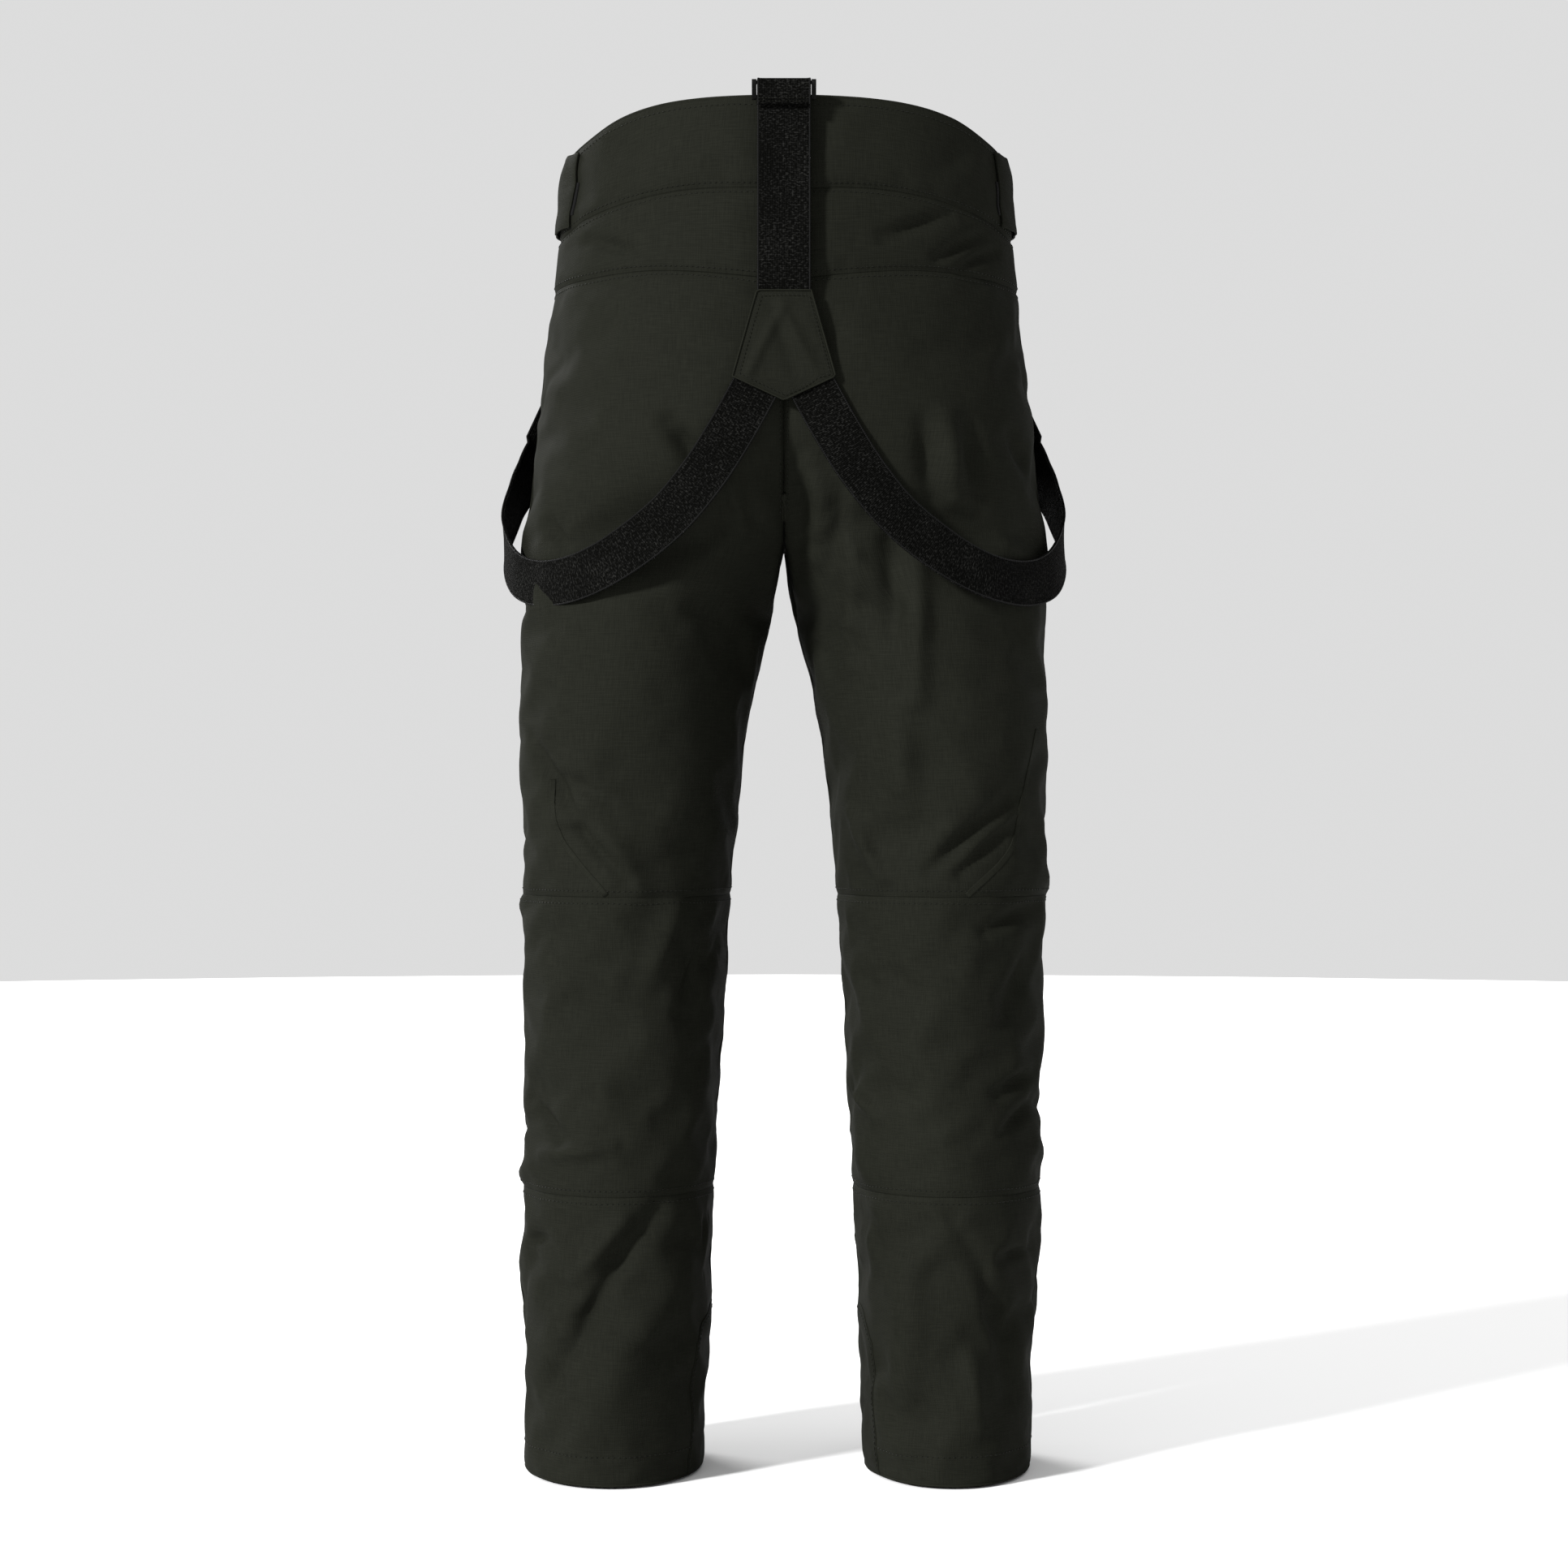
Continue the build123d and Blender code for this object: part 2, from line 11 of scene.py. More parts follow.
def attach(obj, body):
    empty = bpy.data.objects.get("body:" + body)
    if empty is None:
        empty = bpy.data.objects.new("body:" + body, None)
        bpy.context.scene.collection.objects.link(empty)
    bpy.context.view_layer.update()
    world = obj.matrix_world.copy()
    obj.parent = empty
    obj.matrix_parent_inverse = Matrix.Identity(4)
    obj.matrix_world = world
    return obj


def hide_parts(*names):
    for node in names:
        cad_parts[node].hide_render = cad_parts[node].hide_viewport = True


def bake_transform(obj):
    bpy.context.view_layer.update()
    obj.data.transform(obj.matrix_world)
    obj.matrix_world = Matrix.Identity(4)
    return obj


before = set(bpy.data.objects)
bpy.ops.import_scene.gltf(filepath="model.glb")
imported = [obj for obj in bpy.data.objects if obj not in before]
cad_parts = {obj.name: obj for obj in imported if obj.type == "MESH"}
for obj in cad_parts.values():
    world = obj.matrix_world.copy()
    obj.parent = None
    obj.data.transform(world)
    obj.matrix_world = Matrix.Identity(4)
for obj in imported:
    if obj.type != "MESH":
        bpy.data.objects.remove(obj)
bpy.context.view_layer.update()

MM = 0.001
ROOT = "garment"
SIDES = (("left", 1), ("right", -1))
KNEE_SEAM, CALF_SEAM = 456, 224
CROTCH, SEAT = 737, 831
HEM_SEAM = 23


# ------------------------------------------------------------------ materials
def shader(name, rough, specular=0.3, sheen=0.0, metal=0.0):
    """A new material with its node tree, links and main shader."""
    material = bpy.data.materials.new(name)
    material.use_nodes = True
    tree = material.node_tree
    bsdf = tree.nodes["Principled BSDF"]
    bsdf.inputs["Roughness"].default_value = rough
    bsdf.inputs["Specular IOR Level"].default_value = specular
    bsdf.inputs["Sheen Weight"].default_value = sheen
    bsdf.inputs["Sheen Roughness"].default_value = 0.4
    bsdf.inputs["Metallic"].default_value = metal
    return material, tree.nodes, tree.links, bsdf


def mapped(nodes, links, source, scale=(1, 1, 1)):
    """Texture coordinates of one kind, scaled."""
    coords = nodes.new("ShaderNodeTexCoord")
    mapping = nodes.new("ShaderNodeMapping")
    mapping.inputs["Scale"].default_value = scale
    links.new(coords.outputs[source], mapping.inputs["Vector"])
    return mapping.outputs["Vector"]


def mottle(nodes, links, vector, scale, detail=3.0):
    texture = nodes.new("ShaderNodeTexNoise")
    texture.inputs["Scale"].default_value = scale
    texture.inputs["Detail"].default_value = detail
    links.new(vector, texture.inputs["Vector"])
    return texture.outputs["Fac"]


def threads(nodes, links, vector, axis, pitch, wander=0.6):
    """Parallel threads of one pitch, counted along an axis."""
    wave = nodes.new("ShaderNodeTexWave")
    wave.wave_type = "BANDS"
    wave.bands_direction = axis
    wave.inputs["Scale"].default_value = math.pi / (10 * pitch)
    wave.inputs["Distortion"].default_value = wander
    wave.inputs["Detail"].default_value = 1.0
    links.new(vector, wave.inputs["Vector"])
    return wave.outputs["Fac"]


def blended(nodes, links, parts, offset=0.0):
    """Sum of (output, weight) pairs and an offset."""
    total = None
    for output, weight in parts:
        step = nodes.new("ShaderNodeMath")
        step.operation = "MULTIPLY_ADD"
        links.new(output, step.inputs[0])
        step.inputs[1].default_value = weight
        if total is None:
            step.inputs[2].default_value = offset
        else:
            links.new(total, step.inputs[2])
        total = step.outputs[0]
    return total


def coloured(nodes, links, bsdf, factor, stops):
    """Base colour from a ramp of (place, colour) stops."""
    ramp = nodes.new("ShaderNodeValToRGB")
    elements = ramp.color_ramp.elements
    elements[0].position, elements[0].color = stops[0][0], (*stops[0][1], 1)
    elements[1].position, elements[1].color = stops[-1][0], (*stops[-1][1], 1)
    for place, colour in stops[1:-1]:
        elements.new(place).color = (*colour, 1)
    links.new(factor, ramp.inputs["Fac"])
    links.new(ramp.outputs["Color"], bsdf.inputs["Base Color"])


def bumped(nodes, links, bsdf, height, distance):
    bump = nodes.new("ShaderNodeBump")
    bump.inputs["Distance"].default_value = distance
    links.new(height, bump.inputs["Height"])
    links.new(bump.outputs["Normal"], bsdf.inputs["Normal"])


def tint(colour, share):
    return tuple(value * share for value in colour)


def woven(name, colour, pitch, rough=0.75, specular=0.015, relief=0.00008):
    """Plain-weave cloth on its own UV map: two sets of threads, faint slubs and slow shade changes."""
    contrast = 0.2
    material, nodes, links, bsdf = shader(name, rough, specular)
    vector = mapped(nodes, links, "UV")
    weft = threads(nodes, links, vector, "X", pitch)
    warp = threads(nodes, links, vector, "Y", pitch)
    slubs = mottle(nodes, links, mapped(nodes, links, "UV", (14, 1, 1)), 70, 2)
    rungs = mottle(nodes, links, mapped(nodes, links, "UV", (1, 14, 1)), 70, 2)
    cloud = mottle(nodes, links, vector, 6, 4)
    shade = blended(nodes, links, [(slubs, 0.7), (rungs, 0.7), (cloud, 0.5), (weft, 0.12),
                                   (warp, 0.12)], -0.57)
    coloured(nodes, links, bsdf, shade,
             [(0.25, tint(colour, 1 - contrast)), (0.75, tint(colour, 1 + contrast))])
    grain = mottle(nodes, links, vector, 700, 2)
    height = blended(nodes, links, [(weft, 0.5), (warp, 0.5), (grain, 0.8), (slubs, 0.8), (rungs, 0.8)])
    bumped(nodes, links, bsdf, height, relief)
    return material


def elastic_cloth(name, colour, fleck):
    """Knitted elastic: fine cross ribs, long cords and grey flecks in black yarn."""
    material, nodes, links, bsdf = shader(name, 0.8, 0.02)
    vector = mapped(nodes, links, "UV")
    ribs = threads(nodes, links, vector, "Y", 0.0013, 0.8)
    cords = threads(nodes, links, vector, "X", 0.0018, 0.5)
    flecks = mottle(nodes, links, mapped(nodes, links, "UV", (1, 1.8, 1)), 430, 2)
    cloud = mottle(nodes, links, vector, 30, 3)
    shade = blended(nodes, links, [(flecks, 1.5), (cloud, 0.35), (ribs, 0.12)], -0.55)
    coloured(nodes, links, bsdf, shade, [(0.40, colour), (0.58, tint(fleck, 0.3)), (0.80, fleck)])
    height = blended(nodes, links, [(ribs, 0.8), (cords, 0.6), (flecks, 0.7)])
    bumped(nodes, links, bsdf, height, 0.0003)
    return material


def webbing_cloth(name, colour):
    """Ribbed webbing with a chevron-like double cord."""
    material, nodes, links, bsdf = shader(name, 0.6, 0.06, 0.015)
    vector = mapped(nodes, links, "UV")
    ribs = threads(nodes, links, vector, "Y", 0.0016, 0.3)
    cords = threads(nodes, links, vector, "X", 0.003, 0.6)
    cloud = mottle(nodes, links, vector, 90, 3)
    shade = blended(nodes, links, [(ribs, 0.35), (cords, 0.2), (cloud, 0.6)], -0.1)
    coloured(nodes, links, bsdf, shade, [(0.2, tint(colour, 0.6)), (0.8, tint(colour, 1.4))])
    bumped(nodes, links, bsdf, blended(nodes, links, [(ribs, 0.8), (cords, 0.8)]), 0.0004)
    return material


def fuzzy_cloth(name, colour, size, relief):
    """Brushed pile: fleece, or the loop side of a hook-and-loop patch."""
    material, nodes, links, bsdf = shader(name, 0.95, 0.03, 0.05)
    vector = mapped(nodes, links, "Object")
    tufts = mottle(nodes, links, vector, 1 / size, 4)
    cloud = mottle(nodes, links, vector, 25, 3)
    shade = blended(nodes, links, [(tufts, 0.9), (cloud, 0.5)], -0.2)
    coloured(nodes, links, bsdf, shade, [(0.25, tint(colour, 0.6)), (0.75, tint(colour, 1.35))])
    bumped(nodes, links, bsdf, tufts, relief)
    return material


def moulded(name, colour, rough, relief=0.00006):
    """Moulded plastic or rubber with a fine spark texture."""
    material, nodes, links, bsdf = shader(name, rough, 0.06)
    vector = mapped(nodes, links, "Object")
    spark = mottle(nodes, links, vector, 1600, 3)
    wear = mottle(nodes, links, vector, 60, 4)
    coloured(nodes, links, bsdf, wear, [(0.3, tint(colour, 0.8)), (0.75, tint(colour, 1.3))])
    bumped(nodes, links, bsdf, spark, relief)
    return material


def satin_metal(name, colour):
    """Satin-plated metal with a faint brushing and dulled patches."""
    material, nodes, links, bsdf = shader(name, 0.32, 0.5, 0, 1.0)
    vector = mapped(nodes, links, "Object", (1, 1, 12))
    brushing = mottle(nodes, links, vector, 500, 3)
    dulled = mottle(nodes, links, mapped(nodes, links, "Object"), 220, 3)
    coloured(nodes, links, bsdf, dulled, [(0.3, tint(colour, 0.7)), (0.7, tint(colour, 1.2))])
    bumped(nodes, links, bsdf, brushing, 0.00002)
    return material


OLIVE_BLACK = (0.0078, 0.0082, 0.0061)
INK_BLACK = (0.0010, 0.0010, 0.0008)
shell_cloth = woven("shell_cloth", OLIVE_BLACK, 0.0011)
scuff_cloth = woven("scuff_cloth", tint(OLIVE_BLACK, 0.9), 0.0016, relief=0.00012)
lining_cloth = woven("lining_cloth", (0.0085, 0.009, 0.0092), 0.0008, rough=0.4, specular=0.15)
gaiter_cloth = woven("gaiter_cloth", (0.006, 0.0062, 0.0064), 0.0008, rough=0.42, specular=0.15)
# Shell cloth tinted 12% lighter for folded edges, seam laps, bindings and the Y patch rim: a painted
# highlight where light catches the rolled cloth.
fold_edge_painted_highlight = woven("fold_edge_painted_highlight", tint(OLIVE_BLACK, 1.12), 0.0011)
thread = webbing_cloth("thread", tint(OLIVE_BLACK, 1.35))
brace_elastic = elastic_cloth("brace_elastic", INK_BLACK, (0.0150, 0.0150, 0.0138))
selvedge = webbing_cloth("selvedge", (0.0030, 0.0030, 0.0028))
webbing = webbing_cloth("webbing", (0.003, 0.003, 0.003))
zip_tape = webbing_cloth("zip_tape", (0.0028, 0.0028, 0.0028))
kidney_fleece = fuzzy_cloth("kidney_fleece", (0.010, 0.010, 0.0098), 0.0012, 0.0006)
hook_loop = fuzzy_cloth("hook_loop", (0.004, 0.004, 0.004), 0.0007, 0.0005)
zip_coil = moulded("zip_coil", (0.004, 0.004, 0.004), 0.35)
buckle_plastic = moulded("buckle_plastic", (0.0028, 0.0028, 0.0026), 0.5)
gripper_rubber = moulded("gripper_rubber", (0.005, 0.005, 0.005), 0.6, 0.00015)
puller_rubber = moulded("puller_rubber", (0.0035, 0.0035, 0.0035), 0.5)
zip_metal = satin_metal("zip_metal", (0.10, 0.10, 0.105))
snap_metal = satin_metal("snap_metal", (0.13, 0.13, 0.135))


def mirrored(vector, sign):
    return Vector((vector.x * sign, vector.y, vector.z))


def new_piece(name, bm, material, body, nodes=()):
    """Object from a bmesh, smooth shaded, parented to one body, or left unparented in place when its name
    starts with bending.
    """
    mesh = bpy.data.meshes.new(name)
    bm.to_mesh(mesh)
    bm.free()
    for polygon in mesh.polygons:
        polygon.use_smooth = True
    mesh.materials.append(material)
    piece = bpy.data.objects.new(name, mesh)
    bpy.context.collection.objects.link(piece)
    if name.startswith("bending"):
        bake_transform(piece)
    else:
        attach(piece, body)
    if nodes:
        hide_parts(*nodes)
    return piece


def baked(obj):
    """The object's mesh with its modifiers applied."""
    graph = bpy.context.evaluated_depsgraph_get()
    mesh = bpy.data.meshes.new_from_object(obj.evaluated_get(graph))
    obj.modifiers.clear()
    obj.data = mesh
    return mesh


def thickened(bm, thick):
    """The sheet in a bmesh with thickness in mm given inwards, as a closed wall."""
    mesh = bpy.data.meshes.new("sheet")
    bm.to_mesh(mesh)
    bm.free()
    sheet = bpy.data.objects.new("sheet", mesh)
    bpy.context.collection.objects.link(sheet)
    wall = sheet.modifiers.new("wall", "SOLIDIFY")
    wall.thickness = thick * MM
    wall.offset = -1
    wall.use_even_offset = False
    made = bmesh.new()
    made.from_mesh(baked(sheet))
    bpy.data.objects.remove(sheet)
    return made


def make_grid(bm, columns, rows, place, uv_of, panel_of=None):
    """Grid of quads whose vertices take their places from (column, row)."""
    made = bmesh.ops.create_grid(bm, x_segments=columns, y_segments=rows, size=1)
    uv_layer = bm.loops.layers.uv.verify()
    panel_layer = bm.faces.layers.int.get("panel")
    index = {}
    for vertex in made["verts"]:
        index[vertex] = (round((vertex.co.x + 1) / 2 * columns), round((vertex.co.y + 1) / 2 * rows))
    for vertex, (column, row) in index.items():
        vertex.co = place(column, row) * MM
    faces = {face for vertex in made["verts"] for face in vertex.link_faces}
    for face in faces:
        for loop in face.loops:
            loop[uv_layer].uv = uv_of(*index[loop.vert])
        if panel_of:
            corners = [index[vertex] for vertex in face.verts]
            face[panel_layer] = panel_of(min(c for c, _ in corners), min(r for _, r in corners))
    return made["verts"]


def steps(start, end, size):
    """Evenly spaced places from start up to, but without, end."""
    count = max(1, round((end - start) / size))
    return [start + (end - start) * i / count for i in range(count)]


def curve_through(points, spacing):
    """Evenly spaced places (mm) on a smooth curve through points."""
    pts = [Vector(p) for p in points]
    ends = [2 * pts[0] - pts[1]] + pts + [2 * pts[-1] - pts[-2]]
    fine = []
    for a, b, c, d in zip(ends, ends[1:], ends[2:], ends[3:]):
        count = max(2, int((c - b).length / spacing * 3))
        for i in range(count):
            t = i / count
            fine.append(0.5 * (2 * b + (c - a) * t + (2 * a - 5 * b + 4 * c - d) * t * t
                               + (3 * b - a - 3 * c + d) * t ** 3))
    fine.append(pts[-1])
    return evenly(fine, spacing)


def evenly(fine, spacing):
    """Places a fixed spacing apart along a run of points."""
    lengths = [(b - a).length for a, b in zip(fine, fine[1:])]
    total = sum(lengths)
    count = max(1, round(total / spacing))
    places, walked, i = [fine[0].copy()], 0.0, 0
    for n in range(1, count):
        target = total * n / count
        while walked + lengths[i] < target:
            walked += lengths[i]
            i += 1
        places.append(fine[i].lerp(fine[i + 1], (target - walked) / lengths[i]))
    places.append(fine[-1].copy())
    return places


def stations_along(places, across=Vector((0, 0, 1)), closed=False):
    """(centre, side, out) at each place, the side kept near one direction."""
    made, last = [], len(places) - 1
    for i, place in enumerate(places):
        before = places[i - 1] if i or closed else places[0]
        after = places[(i + 1) % (last + 1)] if i < last or closed else places[last]
        along = (after - before).normalized()
        guide = across(i / last) if callable(across) else across
        side = (guide - along * guide.dot(along)).normalized()
        made.append((place, side, side.cross(along)))
    return made


def sweep_into(bm, stations, profile, closed=False):
    """Closed profile of (side, out) points in mm carried along stations."""
    around = len(profile)
    run, walked = [0.0], 0.0
    for (a, _, _), (b, _, _) in zip(stations, stations[1:]):
        walked += (b - a).length
        run.append(walked)
    girth = [0.0]
    for (a, b), (c, d) in zip(profile, profile[1:] + profile[:1]):
        girth.append(girth[-1] + math.hypot(c - a, d - b))
    rows = len(stations) if closed else len(stations) - 1

    def place(column, row):
        centre, side, out = stations[row % len(stations)]
        a, b = profile[column % around]
        return centre + side * a + out * b

    def uv_of(column, row):
        return (girth[column] * MM, (run[row] if row < len(run) else walked + 3) * MM)

    verts = make_grid(bm, around, rows, place, uv_of)
    faces = {face for vertex in verts for face in vertex.link_faces}
    bmesh.ops.remove_doubles(bm, verts=verts, dist=0.004 * MM)
    faces = [face for face in faces if face.is_valid]
    if not closed:
        rims = [edge for edge in {e for f in faces for e in f.edges} if edge.is_boundary]
        bmesh.ops.holes_fill(bm, edges=rims, sides=0)
    bmesh.ops.recalc_face_normals(bm, faces=bm.faces)


def sweep(stations, profile, closed=False):
    bm = bmesh.new()
    sweep_into(bm, stations, profile, closed)
    return bm


def strap_profile(width, thick, columns=10, bead=0.0):
    """Flat strap section with rounded edges, a little thicker in a bead near each edge."""
    half = width / 2 - thick / 2
    top = []
    for i in range(columns + 1):
        a = half - 2 * half * i / columns
        near = max(0, 1 - (half - abs(a)) / 2.4)
        top.append((a, thick / 2 + bead * near))
    nose_right = [(half + thick / 2 * math.cos(t), thick / 2 * math.sin(t)) for t in (-0.8, 0, 0.8)]
    nose_left = [(-half - thick / 2 * math.cos(t), -thick / 2 * math.sin(t)) for t in (-0.8, 0, 0.8)]
    bottom = [(-a, -b) for a, b in top]
    return nose_right + top + nose_left + bottom


def round_profile(radius_side, radius_out, sides=10):
    """Oval section."""
    turns = [2 * math.pi * i / sides for i in range(sides)]
    return [(radius_side * math.cos(turn), radius_out * math.sin(turn)) for turn in turns]


def add_stitches(bm, stations, pitch=4.4, length=3.1, thick=0.42):
    """A row of sewn stitches along stations in mm, each a long bead half sunk in the cloth."""
    walked, due = 0.0, pitch / 2
    for (a, _, out), (b, _, _) in zip(stations, stations[1:]):
        span = (b - a).length
        while span > 0 and walked + span >= due:
            centre = a.lerp(b, (due - walked) / span)
            along = (b - a).normalized()
            across = out.cross(along).normalized()
            turn = Matrix((along, across, along.cross(across))).transposed().to_4x4()
            size = Matrix.Diagonal((length / 2 * MM, thick * MM, thick * MM, 1))
            place = Matrix.Translation(centre * MM) @ turn @ size
            bmesh.ops.create_icosphere(bm, subdivisions=1, radius=1, matrix=place)
            due += pitch
        walked += span


# ------------------------------------------------------------------ garment shape
# height, outer half width left and right, inner half width, front depth, back depth, all in mm
LEG_SIZES = (
    (0, 207, 196, 65, 97, 97),
    (100, 207, 199, 60, 97, 99),
    (CALF_SEAM, 208, 204, 56, 98, 100),
    (340, 207, 206, 49, 101, 101),
    (KNEE_SEAM, 208, 208.5, 43, 104, 104),
    (521, 209, 209.5, 36.5, 108, 107),
    (586, 211, 210, 28.5, 113, 112),
    (651, 210, 209, 17, 116, 116),
    (700, 209, 209, 8, 118, 119),
    (CROTCH, 208, 208, 0, 119, 122),
    (776, 203, 203.5, -20, 120, 135),
)
# height, outer half width left and right, centre of a half's oval, front depth, back depth
TRUNK_SIZES = (
    (700, 209, 209, 104, 118, 119),
    (CROTCH, 208, 208, 90, 119, 122),
    (776, 203, 203.5, 76, 120, 135),
    (SEAT, 197, 199, 40, 120, 146),
    (898, 188, 190.5, 18, 120, 142),
    (963, 180, 183, 5, 120, 134),
    (996, 177, 180, 0, 120, 131),
    (1028, 173, 177, 0, 120, 128),
    (1071, 164, 168, 0, 120, 124),
)
# heights round the trunk by angle from the front (-90) over the side (0) to the back (90)
YOKE_LINE = ((-90, 930), (0, 934), (30, 936), (57, 937), (90, 927))
WAIST_LINE = ((-90, 984), (-40, 980), (0, 975), (16, 977), (28, 984), (47, 993), (66, 999), (90, 998))
TOP_LINE = ((-90, 1022), (-40, 1026), (0, 1037), (12, 1043), (24, 1049), (40, 1061), (60, 1069),
            (90, 1071))


def smooth_between(table, place, column):
    """Smooth curve through a column of a table, by its first column."""
    last = len(table) - 1
    place = min(max(place, table[0][0]), table[last][0])
    low = max(i for i in range(last) if table[i][0] <= place)
    x0, x1 = table[low][0], table[low + 1][0]
    y0, y1 = table[low][column], table[low + 1][column]
    span = x1 - x0

    def slope(i):
        a, b = table[max(i - 1, 0)], table[min(i + 1, last)]
        return (b[column] - a[column]) / (b[0] - a[0])

    t = (place - x0) / span
    return (y0 * (1 + 2 * t) * (1 - t) ** 2 + span * slope(low) * t * (1 - t) ** 2
            + y1 * t * t * (3 - 2 * t) + span * slope(low + 1) * t * t * (t - 1))


LEG_REACH = 150.0              # degrees from the side to where the outer columns end
THIGH_TOP, HIP_CENTRE = 672, 90  # where a leg's oval starts to open, and its centre at the crotch
REACH_OPENS = 640              # height from where they spread to meet the trunk's columns
CROTCH_SAG = 6                 # dip of the crotch seam between the legs
OUTER_COLUMNS, INNER_COLUMNS = 72, 28
SEAM = 1.6                     # rows this close on each side of a seam


def leg_point(sign, z, angle):
    """Point of a leg at a height and an angle from the outside, back positive, in mm."""
    outer = smooth_between(LEG_SIZES, z, 1 if sign > 0 else 2)
    inner, front, back = (smooth_between(LEG_SIZES, z, column) for column in (3, 4, 5))
    middle = (outer + inner) / 2
    middle += (HIP_CENTRE - middle) * max(0, (z - THIGH_TOP) / (CROTCH - THIGH_TOP)) ** 1.5
    turn = math.radians(angle)
    depth = back if math.sin(turn) > 0 else front
    across = max(middle + (outer - middle) * math.cos(turn), inner)
    return Vector((sign * across, depth * math.sin(turn), z))


def trunk_reach(sign, z):
    outer = smooth_between(TRUNK_SIZES, z, 1 if sign > 0 else 2)
    centre = smooth_between(TRUNK_SIZES, z, 3)
    return math.degrees(math.acos(-centre / (outer - centre)))


def trunk_point(sign, z, share):
    """Point of the trunk at a height and a share of the way from the centre front to the back."""
    outer = smooth_between(TRUNK_SIZES, z, 1 if sign > 0 else 2)
    centre, front, back = (smooth_between(TRUNK_SIZES, z, column) for column in (3, 4, 5))
    turn = math.radians(trunk_reach(sign, z) * (2 * share - 1))
    depth = back if math.sin(turn) > 0 else front
    across = 0 if share in (0, 1) else max(centre + (outer - centre) * math.cos(turn), 0)
    return Vector((sign * across, depth * math.sin(turn), z))


leg_rows = [0, 1.5] + steps(5, 23, 6) + steps(23, CALF_SEAM - SEAM, 7)
leg_rows += [CALF_SEAM - SEAM, CALF_SEAM, CALF_SEAM + SEAM] + steps(CALF_SEAM + 7, KNEE_SEAM - SEAM, 7)
leg_rows += [KNEE_SEAM - SEAM, KNEE_SEAM, KNEE_SEAM + SEAM] + steps(KNEE_SEAM + 7, CROTCH, 7)
TRUNK_BANDS = (13, 13, 9, 11)   # rows in the seat, below the yoke, the yoke and the waistband
SHIN, CALF, KNEE_FRONT, KNEE_BACK, FRONT, BACK, YOKE, BAND_FRONT, BAND_BACK = range(9)
SIDE_STEP = 20                 # added to the panel numbers of the second side
LEG_COLUMN, TRUNK_COLUMN = 0.0056, 0.0074   # cloth in a column, in metres, for its weave


def band_heights(share):
    """Heights of the trunk's bands at a share of the way round a half."""
    angle = 180 * share - 90
    return (CROTCH, SEAT, smooth_between(YOKE_LINE, angle, 1), smooth_between(WAIST_LINE, angle, 1),
            smooth_between(TOP_LINE, angle, 1))


def trunk_row_shares():
    """Rows of the trunk as (band, share of the band), with close rows beside the seams."""
    rows = []
    for band, count in enumerate(TRUNK_BANDS):
        close = 0.018 if band == 1 else 0.028
        places = [i / count for i in range(count)]
        if band > 1:
            places.insert(1, close)
        if 0 < band < 3:
            places.append(1 - close)
        rows += [(band, place) for place in places]
    return rows + [(len(TRUNK_BANDS) - 1, 1.0)]


trunk_rows = trunk_row_shares()


def build_body():
    """The whole shell as one welded mesh: two legs and two trunk halves, with panels numbered."""
    bm = bmesh.new()
    bm.faces.layers.int.new("panel")
    around = OUTER_COLUMNS + INNER_COLUMNS
    for side_number, (_, sign) in enumerate(SIDES):
        def leg_place(column, row):
            top = row == len(leg_rows)
            z = CROTCH if top else leg_rows[row]
            rise = max(0, (z - REACH_OPENS) / (CROTCH - REACH_OPENS)) ** 2
            reach = LEG_REACH + (trunk_reach(sign, CROTCH) - LEG_REACH) * rise
            if column <= OUTER_COLUMNS:
                share = column / OUTER_COLUMNS
                if top:
                    return trunk_point(sign, CROTCH, share)
                return leg_point(sign, z, reach * (2 * share - 1))
            share = (column - OUTER_COLUMNS) / INNER_COLUMNS
            if top:
                back_y, front_y = trunk_point(sign, CROTCH, 1).y, trunk_point(sign, CROTCH, 0).y
                sag = CROTCH_SAG * math.sin(math.pi * share)
                return Vector((0, back_y + (front_y - back_y) * share, CROTCH - sag))
            return leg_point(sign, z, reach + (360 - 2 * reach) * share)

        def trunk_place(column, row):
            share = column / OUTER_COLUMNS
            heights = band_heights(share)
            band, part = trunk_rows[row]
            return trunk_point(sign, heights[band] + (heights[band + 1] - heights[band]) * part, share)

        def leg_uv(column, row):
            z = leg_rows[row] if row < len(leg_rows) else CROTCH
            return (sign * column * LEG_COLUMN, z * MM)

        def trunk_uv(column, row):
            heights = band_heights(0.5)
            band, part = trunk_rows[row]
            z = heights[band] + (heights[band + 1] - heights[band]) * part
            return (sign * column * TRUNK_COLUMN, z * MM)

        def leg_panel(column, row):
            back = OUTER_COLUMNS / 2 <= column < OUTER_COLUMNS + INNER_COLUMNS / 2
            z = leg_rows[row]
            kind = SHIN if z < CALF_SEAM else KNEE_FRONT if z < KNEE_SEAM else FRONT
            return kind + (1 if back else 0) + SIDE_STEP * side_number

        def trunk_panel(column, row):
            back = column >= OUTER_COLUMNS / 2
            kinds = {3: (BAND_FRONT, BAND_BACK), 2: (FRONT, YOKE)}.get(trunk_rows[row][0], (FRONT, BACK))
            return kinds[back] + SIDE_STEP * side_number

        make_grid(bm, around, len(leg_rows), leg_place, leg_uv, leg_panel)
        make_grid(bm, OUTER_COLUMNS, len(trunk_rows) - 1, trunk_place, trunk_uv, trunk_panel)
    bmesh.ops.remove_doubles(bm, verts=bm.verts, dist=0.02 * MM)
    bmesh.ops.recalc_face_normals(bm, faces=bm.faces)
    return bm


